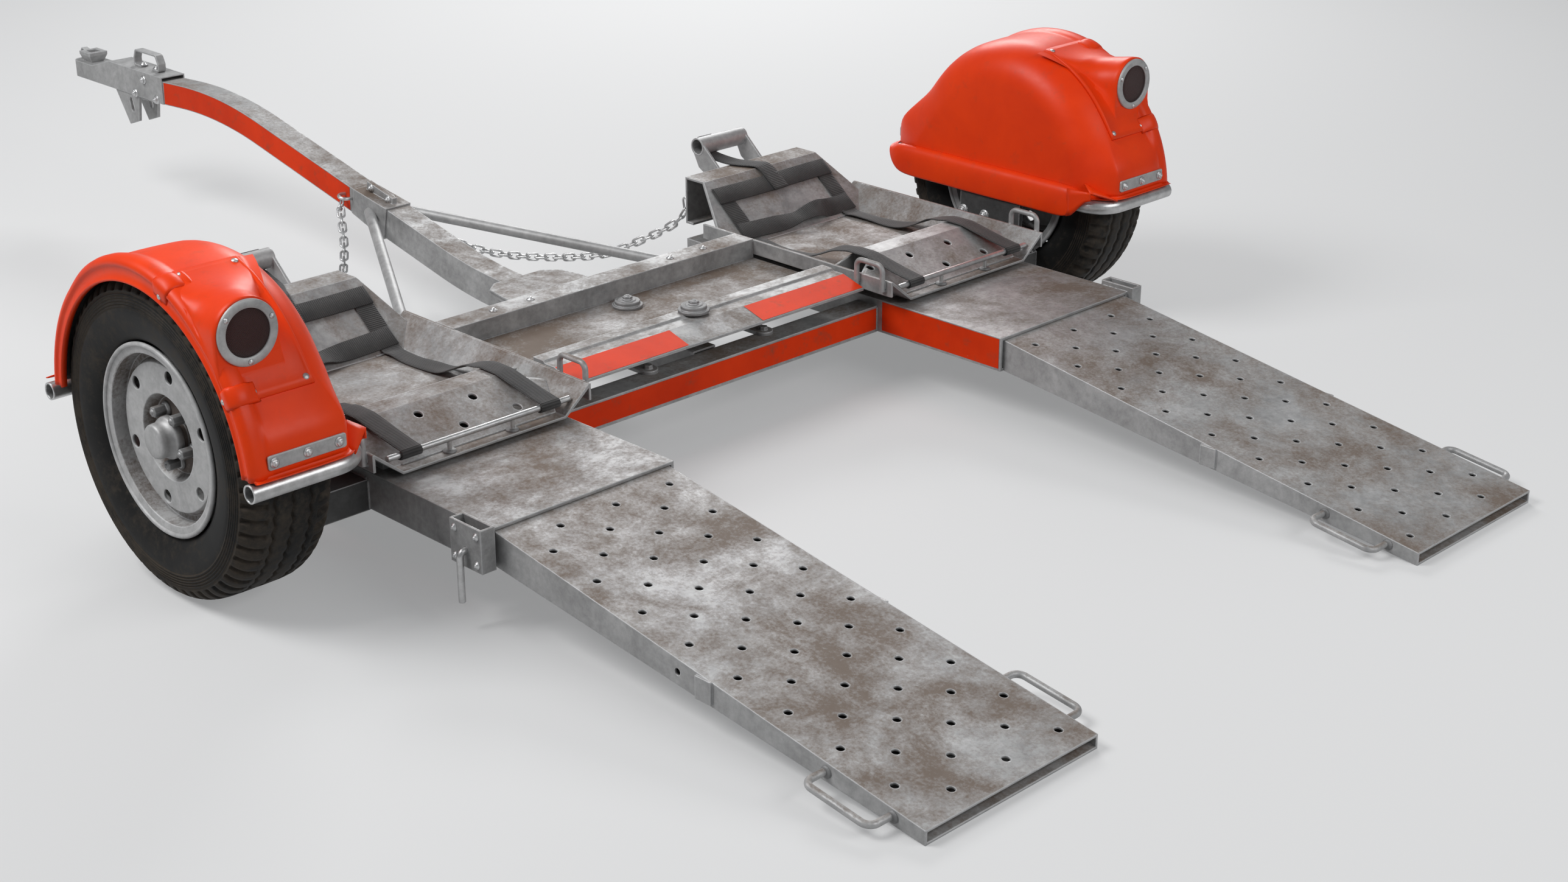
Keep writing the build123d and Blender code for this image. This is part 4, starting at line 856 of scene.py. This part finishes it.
for obj in pair("lamp_pod", pod, orange, "orange_paint"):
    for polygon in obj.data.polygons[len(wall):]:
        polygon.use_smooth = False

lamp_at = at(LAMP_X, -272.2, LAMP_Z)
ring_profile = [(0, 58.5), (3.6, 58.5), (5, 57.2), (5, 44.2), (4, 43), (1.5, 43)]
lens_profile = [(0, 43.4), (2, 43.4), (2.6, 30), (3, 15), (3.1, 4)]
pair("lamp_ring", lathe(lamp_at, REARWARD, ring_profile, 64, capped=False), zinc_clean)
pair("lamp_lens", lathe(lamp_at, REARWARD, lens_profile, 48), red_lens, "lamp_lens", node="lamp")


def round_screw(centre, along, radius):
    head = [(-0.6, radius), (1, radius), (2.2, radius * 0.85), (2.7, radius * 0.5)]
    socket = [(2, radius * 0.42), (2.9, radius * 0.42), (3, radius * 0.30)]
    return join(lathe(centre, along, head, 18), lathe(centre, along, socket, 6))


screws = []
for degrees in (38, 158, 270):
    x, z = polar(LAMP_X, LAMP_Z, 51, degrees)
    screws.append(round_screw(at(x, -277, z), REARWARD, 5.2))
for x, index in ((1105, plate_first + 1), (1211, plate_first + 1), (1104, plate_last - 1),
                 (1208, plate_last - 1)):
    y, z = crown_surface(index, x, 3.8)
    under_y, under_z = crown_point(index, 0.2)
    outward = Vector((0, y - under_y, z - under_z)).normalized()
    screws.append(round_screw(at(x, y, z), outward, 6.2))
pair("hood_screw", join(*screws), zinc_bright)


# Saddles: rounded clips from the hood plate over the outer ring. Their section is
# (x, spread by the lift, which line it follows, offset, share of the lift).

SADDLE = (
    (1200, 0, "crown", 3, 0), (1205, 0, "crown", 3.6, 0.6), (1210, 0, "crown", 4.2, 1),
    (1216, 0, "ring", -5, 0.7), (1226, 0, "ring", 0, 1), (1240, 0, "ring", 0, 1),
    (1252, 0, "ring", -2, 0.6), (1259, 0.3, "ring", -7, 0), (1258.6, 0.45, "ring", -15, 0),
    (1257, 0.45, "ring", -25, 0), (1255.8, 0.3, "ring", -32, 0))


def saddle_point(place, line, offset):
    """Point of the crown or the ring at a place between two steps."""
    index = floor(place)
    ends = [crown_point(i, 0, offset) if line == "crown" else ring_point(i, offset)
            for i in (index, index + 1)]
    return lerp_point(*ends, place - index)


for number, (step, span) in enumerate(((plate_first + 2, 2), (plate_last - 1, 1.45))):
    saddle_rows = []
    for j in range(-5, 6):
        share = j / 5
        lift = 6 * sqrt(max(0, 1 - share * share)) - 0.8
        row = []
        for x, spread, line, offset, lifted in SADDLE:
            y, z = saddle_point(step + share * span, line, offset + lift * lifted)
            row.append((min(x + lift * spread, 1261.6), y, min(z, 648)))
        saddle_rows.append(row)
    sheet(f"hood_saddle_{number}", saddle_rows, 1.6, flip=True)
    y, z = ring_point(step, -27)
    pair(f"saddle_screw_{number}", round_screw(at(1257.4, y, z), OUTWARD, 5.6), zinc_bright)


# Bolt plates on the fender's ends

plate_outline = []
for sign_x, sign_z, start in ((1, 1, 0), (-1, 1, 90), (-1, -1, 180), (1, -1, 270)):
    plate_outline += [polar(1147 + sign_x * 73, 362 + sign_z * 8, 5, start + 18 * k)
                      for k in range(6)]
count = len(plate_outline)
plate_faces = [(i + count, (i + 1) % count + count, (i + 1) % count, i) for i in range(count)]
plate_faces += [tuple(range(count)), tuple(range(2 * count - 1, count - 1, -1))]
for name, planes, face_y, along in (("rear", (-350, -345.6), -350, REARWARD),
                                    ("front", (333.6, 338), 338, FORWARD)):
    plate = [at(x, y, z) for y in planes for x, z in plate_outline], plate_faces
    pair(f"bolt_plate_{name}", plate, zinc_clean, smooth=False, bevel=0.8)
    bolts = [hex_bolt(at(x, face_y, 362), along, 7.4, 5.5, 0.3 * n)
             for n, x in enumerate((1084, 1147, 1213))]
    pair(f"plate_bolt_{name}", join(*bolts), zinc_bright, bevel=0.5)


# Webbing nets

STRAP_HALF = 22.5
SLANT_Y, SLANT_Z = 0.7716, 0.636  # direction up the front stop's face
STRAP_SECTION = ((-1, 0.5), (-0.96, 1), (-0.5, 1.04), (0, 1.06), (0.5, 1.04), (0.96, 1),
                 (1, 0.5), (1, -0.5), (0.96, -1), (0, -1), (-0.96, -1), (-1, -0.5))


def ribbon(points, widths, per_span=6):
    """Strap through points in mm, with its half-width vectors at them. Returns its shape, UVs."""
    centre = catmull([Vector(p) for p in points], per_span)
    half = catmull([Vector(w) for w in widths], per_span)
    verts, uvs = [], []
    for i, (point, wide, length) in enumerate(zip(centre, half, running_lengths(centre))):
        along = direction_at(centre, i)
        across = (wide - along * wide.dot(along)).normalized() * wide.length
        normal = across.normalized().cross(along)
        for a, b in STRAP_SECTION:
            verts.append(at(*(point + across * a + normal * (b * 1.2))))
            uvs.append((length * MM, a * wide.length * MM))
    return (verts, closed_faces(len(centre), len(STRAP_SECTION))), uvs


def on_slant(distance, height):
    """(y, z) on the front stop's face: distance down from its ridge, height off the face."""
    return (438 - distance * SLANT_Y - height * SLANT_Z,
            328 - distance * SLANT_Z + height * SLANT_Y)


def net(bulge, lean):
    """Straps of one pan, on the right. bulge lifts the loose parts, lean shifts them sideways."""
    straps = []
    path = [(-205, 223.4), (-214, 222.6), (-222.5, 227), (-224.4, 234), (-219.5, 240.6),
            (-211, 241.6), (-170, 247.8), (-120, 257.4), (-82, 264.4), (-56, 265.2), (-30, 264.8),
            (-14, 262 + bulge * 0.1), (22, 250 + bulge * 0.4), (66, 229 + bulge * 0.6),
            (112, 213.5 + bulge * 0.3), (160, 209.4), (215, 209.2), (262, 210.4), (289, 213.2),
            on_slant(160, 3.2), on_slant(120, 3.6 + bulge * 0.12), on_slant(80, 3.2),
            on_slant(30, 3)]
    for x, side in ((520, -1), (847, 1)):
        points, widths = [], []
        for k, (y, z) in enumerate(path):
            sway = lean * sin(k * 0.9 + side) if 10 < k < 19 else 0
            twist = 0.10 * sin(k * 1.3 + side * 2) if 11 < k < 18 else 0
            points.append((x + sway * side, y, z + abs(twist) * 22))
            widths.append((STRAP_HALF * cos(twist), 0, STRAP_HALF * sin(twist)))
        straps.append(ribbon(points, widths, per_span=5))
    top = []
    for k in range(9):
        t = k / 8
        ripple = bulge * 0.05 * sin(9 * t) ** 2
        top.append((lerp(497, 870, t), *on_slant(49 + 1.5 * sin(5 * t), 5.6 + ripple)))
    straps.append(ribbon(top, [Vector((0, SLANT_Y, SLANT_Z)) * STRAP_HALF] * 9))
    low, widths = [], []
    for k in range(13):
        t = k / 12
        hump = exp(-((t - 0.62) / 0.12) ** 2) * (12 + bulge)
        low.append((lerp(499, 868, t), *on_slant(156 + 7 * sin(pi * t), 5.8 + hump)))
        roll = 0.5 * exp(-((t - 0.5) / 0.1) ** 2) - 0.45 * exp(-((t - 0.76) / 0.1) ** 2)
        widths.append(Vector((0, SLANT_Y * cos(roll) + SLANT_Z * sin(roll),
                              SLANT_Z * cos(roll) - SLANT_Y * sin(roll))) * STRAP_HALF)
    straps.append(ribbon(low, widths))
    over = [(694, *on_slant(74, 8.2)), (692, *on_slant(40, 7.6)), (690, *on_slant(8, 5)),
            (686, 444, 332.2), (676, 470, 331.4), (664, 494, 331.4), (657, 514, 332),
            (652, 540, 334.6), (648, 562, 338)]
    widths = [(25, 3, 0)] * 7 + [(24, 1, 0), (23, 0, 0)]
    for degrees in (-98, -75, -45, -15, 20, 50):
        over.append((647, *polar(582, 364, 23.3, degrees)))
        widths.append((23, 0, 0))
    straps.append(ribbon(over, widths))
    return join(*[shape for shape, _ in straps]), [uv for _, uvs in straps for uv in uvs]


for side, (bulge, lean) in {"right": (8, 3), "left": (3, -4)}.items():
    shape, uvs = net(bulge, lean)
    straps = make("webbing_straps_" + side, shape if side == "right" else mirrored(shape),
                  black_webbing, "frame", "webbing")
    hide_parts("webbing_net_" + side)
    layer = straps.data.uv_layers.new(name="UVMap").data
    for loop in straps.data.loops:
        layer[loop.index].uv = uvs[loop.vertex_index]


# Safety chains, link by link, with their eyes on the tongue

chain_route = (
    (47, 1131, 247), (62, 1126, 234), (118, 1040, 168), (195, 943, 118), (272, 834, 104),
    (375, 691, 117), (440, 600, 162), (484, 537, 205), (503, 513.5, 240), (503, 512.5, 268))
chain_line = catmull([Vector(p) for p in chain_route], 40)
chain_lengths = running_lengths(chain_line)
link_count = int(chain_lengths[-1] / 22.5)
pitch = chain_lengths[-1] / link_count
LINK_BEND, LINK_HALF_WIDTH, LINK_WIRE = 7.8, 8.2, 2.7


def along_chain(distance):
    """Point and direction at this distance along the chain's line."""
    i = next(i for i, length in enumerate(chain_lengths) if i and length >= distance)
    before, after = chain_line[i - 1], chain_line[i]
    t = (distance - chain_lengths[i - 1]) / (chain_lengths[i] - chain_lengths[i - 1])
    return before.lerp(after, t), (after - before).normalized()


links = []
for n in range(link_count):
    middle, along = along_chain((n + 0.5) * pitch)
    reference = Vector(UP if abs(along.z) < 0.8 else OUTWARD)
    across = along.cross(reference).normalized()
    flat = across if n % 2 else across.cross(along).normalized()
    loop = []
    for k in range(20):
        angle = TURN * k / 20
        end = copysign(pitch / 2 - 3.2, cos(angle))
        loop.append(at(*(middle + along * (end + LINK_BEND * cos(angle))
                         + flat * LINK_HALF_WIDTH * sin(angle))))
    links.append(tube(loop, LINK_WIRE * MM, 8, closed=True))
pair("chain_links", join(*links), zinc_bright, "chain_steel", node="safety_chain")
eye = [at(*p) for p in ((32, 1146, 262), (44, 1146, 263), (54, 1142, 262), (58, 1132, 260),
                        (54, 1122, 258), (44, 1118, 257), (32, 1118, 256))]
pair("chain_eye", tube(catmull(eye, 5), 4.2 * MM, 12), zinc_bright, "chain_steel")


# Painted stripes

TONGUE_SLOPE, TONGUE_FALL = 0.222, 0.054
CREST_Y, CREST_Z = 1694, 378
BEND_START_Y, BEND_END_Y = 1520.1, 1871.8


def tongue_centre(y):
    """Height of the front tube's middle at y. Its bend is a quadratic curve under the crest."""
    if y <= BEND_START_Y:
        return CREST_Z - (CREST_Y - y) * TONGUE_SLOPE
    if y >= BEND_END_Y:
        return CREST_Z - (y - CREST_Y) * TONGUE_FALL
    start_z, end_z = tongue_centre(BEND_START_Y), tongue_centre(BEND_END_Y)
    rise, skew = CREST_Y - BEND_START_Y, BEND_START_Y - 2 * CREST_Y + BEND_END_Y
    t = (-rise + sqrt(rise ** 2 + skew * (y - BEND_START_Y))) / skew
    return (1 - t) ** 2 * start_z + 2 * t * (1 - t) * CREST_Z + t * t * end_z


def stripe(name, rows, out, lift=0.5):
    """Thin painted patch over rows of (low, high) points, raised off its face."""
    out = Vector(out) * lift
    verts = [at(*(Vector(low).lerp(Vector(high), share) + out))
             for low, high in rows for share in (0, 0.5, 1)]
    faces = grid_faces(len(rows), 3)
    if (verts[1] - verts[0]).cross(verts[3] - verts[0]).dot(out) > 0:
        faces = flipped(faces)
    pair(name, (verts, faces), stripe_red, "red_stripe_beam")


tongue_rows = []
for k in range(25):
    y = lerp(1128, 1952, k / 24)
    z = tongue_centre(y)
    tongue_rows.append(((32, y + 1.2, z - 28.6), (32, y - 1.2, z + 28.6)))
stripe("tongue_stripe", tongue_rows, OUTWARD)
beam_low, beam_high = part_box("rear_beam")
beam_y = (beam_low[1] - AXLE_Y) / MM
beam_x = beam_high[0] / MM - 1
beam_foot, beam_top = beam_low[2] / MM + 7, beam_high[2] / MM - 5
for name, low_edge, high_edge, out, lift in (
        ("sleeve_stripe", ((467, -506, 120.5), (467, -168, 120.5)),
         ((467, -506, 187), (467, -168, 187)), INWARD, 0.5),
        ("bevel_stripe", ((106, -161.5, 232.6), (410, -161.5, 232.6)),
         ((106, -102, 249.4), (410, -102, 249.4)), (0, -0.275, 0.961), 0.6),
        ("beam_stripe", ((0, beam_y, beam_foot), (beam_x, beam_y, beam_foot)),
         ((0, beam_y, beam_top), (beam_x, beam_y, beam_top)), REARWARD, 0.5)):
    stripe(name, [(lerp_point(*low_edge, k / 4), lerp_point(*high_edge, k / 4))
                  for k in range(5)], out, lift)


# Welds: rippled beads, each as its radius and the points that it passes

WELDS = (
    (2.6, (6, 202, 212.5), (400, 202, 212.5)), (3, (60, 263.5, 191), (113, 263.5, 191)),
    (2.8, (113.5, 266, 187), (113.5, 436, 187), (101.5, 501, 187), (66.5, 530, 187)),
    *((2.6, (427, y, 192), (427, y, 254)) for y in (203, 262)),
    *((3, (x, y, 115), (x, y, 172)) for x in (466.6, 899.4) for y in (-152, -92)),
    (3, (899.4, -150, 174.4), (899.4, -94, 174.4)), (3, (1006, -150, 174.6), (1006, -100, 174.6)),
    (2.4, (900.5, -440, 120), (900.5, -440, 188)), (2.2, (901, -438, 190.6), (901, -500, 190.6)),
    *((2.2, (x, 503.6, 272), (x, 503.6, 318)) for x in (612, 754)),
    (2.2, (508, -203.5, 207), (858, -203.5, 207)),
    *((2.4, (low, 290, 207.4), (high, 290, 207.4)) for low, high in ((500, 560), (800, 866))))


def weld(radius, *points):
    line = []
    for a, b in zip(points, points[1:]):
        a, b = Vector(a), Vector(b)
        count = max(2, int((b - a).length / 4))
        line += [a.lerp(b, k / count) for k in range(count)]
    line.append(Vector(points[-1]))
    verts = []
    for i, point in enumerate(line):
        _, side, up = frame_of(direction_at(line, i))
        size = radius * (0.86 + 0.14 * (i % 2) + 0.12 * sin(i * 1.7))
        verts += [at(*(point + spoke * size)) for spoke in spokes(side, up, 8)]
    return verts, closed_faces(len(line), 8)


pair("weld_bead", join(*[weld(*bead) for bead in WELDS]), zinc_dark)


# Bolts and pivots

heads = [((35, y, z), OUTWARD, 9.5, 8, y) for y, z in ((2046, 385), (2095, 341), (1989, 341))]
heads += [((1007.4, y, 232), INWARD, 11, 9, y) for y in (3, 69)]
heads += [((930, y, z), OUTWARD, 6, 4, y + z) for y in (-513, -452) for z in (132, 186)]
heads += [((x, 503, 292), FORWARD, 8, 6, x) for x in (560, 806)]
heads += [((x, 232, 257), UP, 7, 4, x) for x in (300, 200)]
bolts = [hex_bolt(at(*place), *rest) for place, *rest in heads]
pair("frame_bolt", join(*bolts), zinc_bright, bevel=0.6)

slope = atan(TONGUE_SLOPE)
clamp_y, clamp_z = 1050, 143 + (1050 - 635.4) * TONGUE_SLOPE
bolts = []
for shift in (-34, 34):
    y = clamp_y + shift * cos(slope) - 43.5 * sin(slope)
    z = clamp_z + shift * sin(slope) + 43.5 * cos(slope)
    bolts.append(hex_bolt(at(6, y, z), OUTWARD, 8.2, 6.5, 0.4 + shift))
pair("clamp_bolt", join(*bolts), zinc_bright, bevel=0.6)

pivot_profile = [(0, 33.5), (5.5, 33.5), (6.5, 32.5), (6.6, 28), (13.8, 27.6), (14.8, 26.6),
                 (15.2, 19), (17.2, 18.6), (17.4, 12)]
for name, y, z in (("front_pivot", 150, 213), ("rear_pivot", -62, 255)):
    stack = join(lathe(at(0, y, z), UP, pivot_profile, 48),
                 hex_bolt(at(0, y, z + 15), UP, 11.5, 8.5, 0.3, washer=False))
    obj = make(name + "_stack", stack, zinc_dark, "frame", "dark_steel", bevel=0.6)
    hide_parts(name + "_disc")

bolts = [hex_bolt(at(0, 2068 + shift, 410), UP, 8, 5, 0.2 * shift) for shift in (-33, 33)]
make("grip_bolt", join(*bolts), zinc_bright, "frame", "galvanised")
make("cup_nut", hex_bolt(at(0, 2365, 380), UP, 10, 12, 0.5), zinc_dark, "frame", "dark_steel")

# Collars where the strap rod, the rod's middle posts and the ramp's handles meet the sheet
collars = [lathe(at(x, y, 233), UP, [(-2, 10), (2, 10), (4.5, 7)], 18)
           for x in (433, 933) for y in (-132, -209)]
collars += [lathe(at(x, -214, 206), UP, [(0, 13), (2.5, 13), (5, 10.5)], 20) for x in (609, 757)]
for y in (-1318, -1458):
    z = (26 + (y + 1524) * 0.155 + (y + 1524) * 0.113) / 2
    collars += [lathe(at(x, y, z), (sign, 0, 0), [(-0.5, 11), (1.6, 11), (3.6, 8)], 18)
                for x, sign in ((888, 1), (478, -1))]
pair("rod_collar", join(*collars), zinc_dark)


# Floor and light

stage = Shader("floor")
seen = stage.node("LightPath", {}, "Is Camera Ray")
rays = seen.socket.node.outputs
for kind in ("Is Glossy Ray", "Is Transmission Ray"):
    seen = seen.math("MAXIMUM", Value(stage, rays[kind]))
floor_grey = stage.finish({
    "Base Color": (0.42, 0.42, 0.42), "Roughness": 0.9,
    "Emission Color": (0.98, 0.99, 1), "Emission Strength": seen * 0.27})
floor_mesh = bpy.data.meshes.new("floor")
floor_mesh.from_pydata([(-40, -40, 0), (40, -40, 0), (40, 40, 0), (-40, 40, 0)], [],
                       [(0, 1, 2, 3)])
floor_mesh.materials.append(floor_grey)
link("floor", floor_mesh)

world = bpy.data.worlds.new("world")
scene.world = world
world.use_nodes = True
sky = world.node_tree.nodes["Background"].inputs
sky["Color"].default_value = (0.80, 0.82, 0.85, 1)
sky["Strength"].default_value = 0.25

for name, location, target, size, energy in (
        ("key", (-3.5, 1.2, 4.6), (0, -0.2, 0.3), (3, 2.2), 240),
        ("rim", (4.2, 3.6, 3.4), (0, 0, 0.3), (3, 1.6), 200),
        ("fill", (0.8, -5.2, 3.2), (0, -0.4, 0.2), (4, 2), 110)):
    light = bpy.data.lights.new(name, "AREA")
    light.shape = "RECTANGLE"
    light.size, light.size_y = size
    light.energy = energy
    obj = link(name, light)
    obj.location = location
    obj.rotation_euler = (Vector(location) - Vector(target)).to_track_quat("Z", "Y").to_euler()

scene.view_settings.view_transform = "Standard"
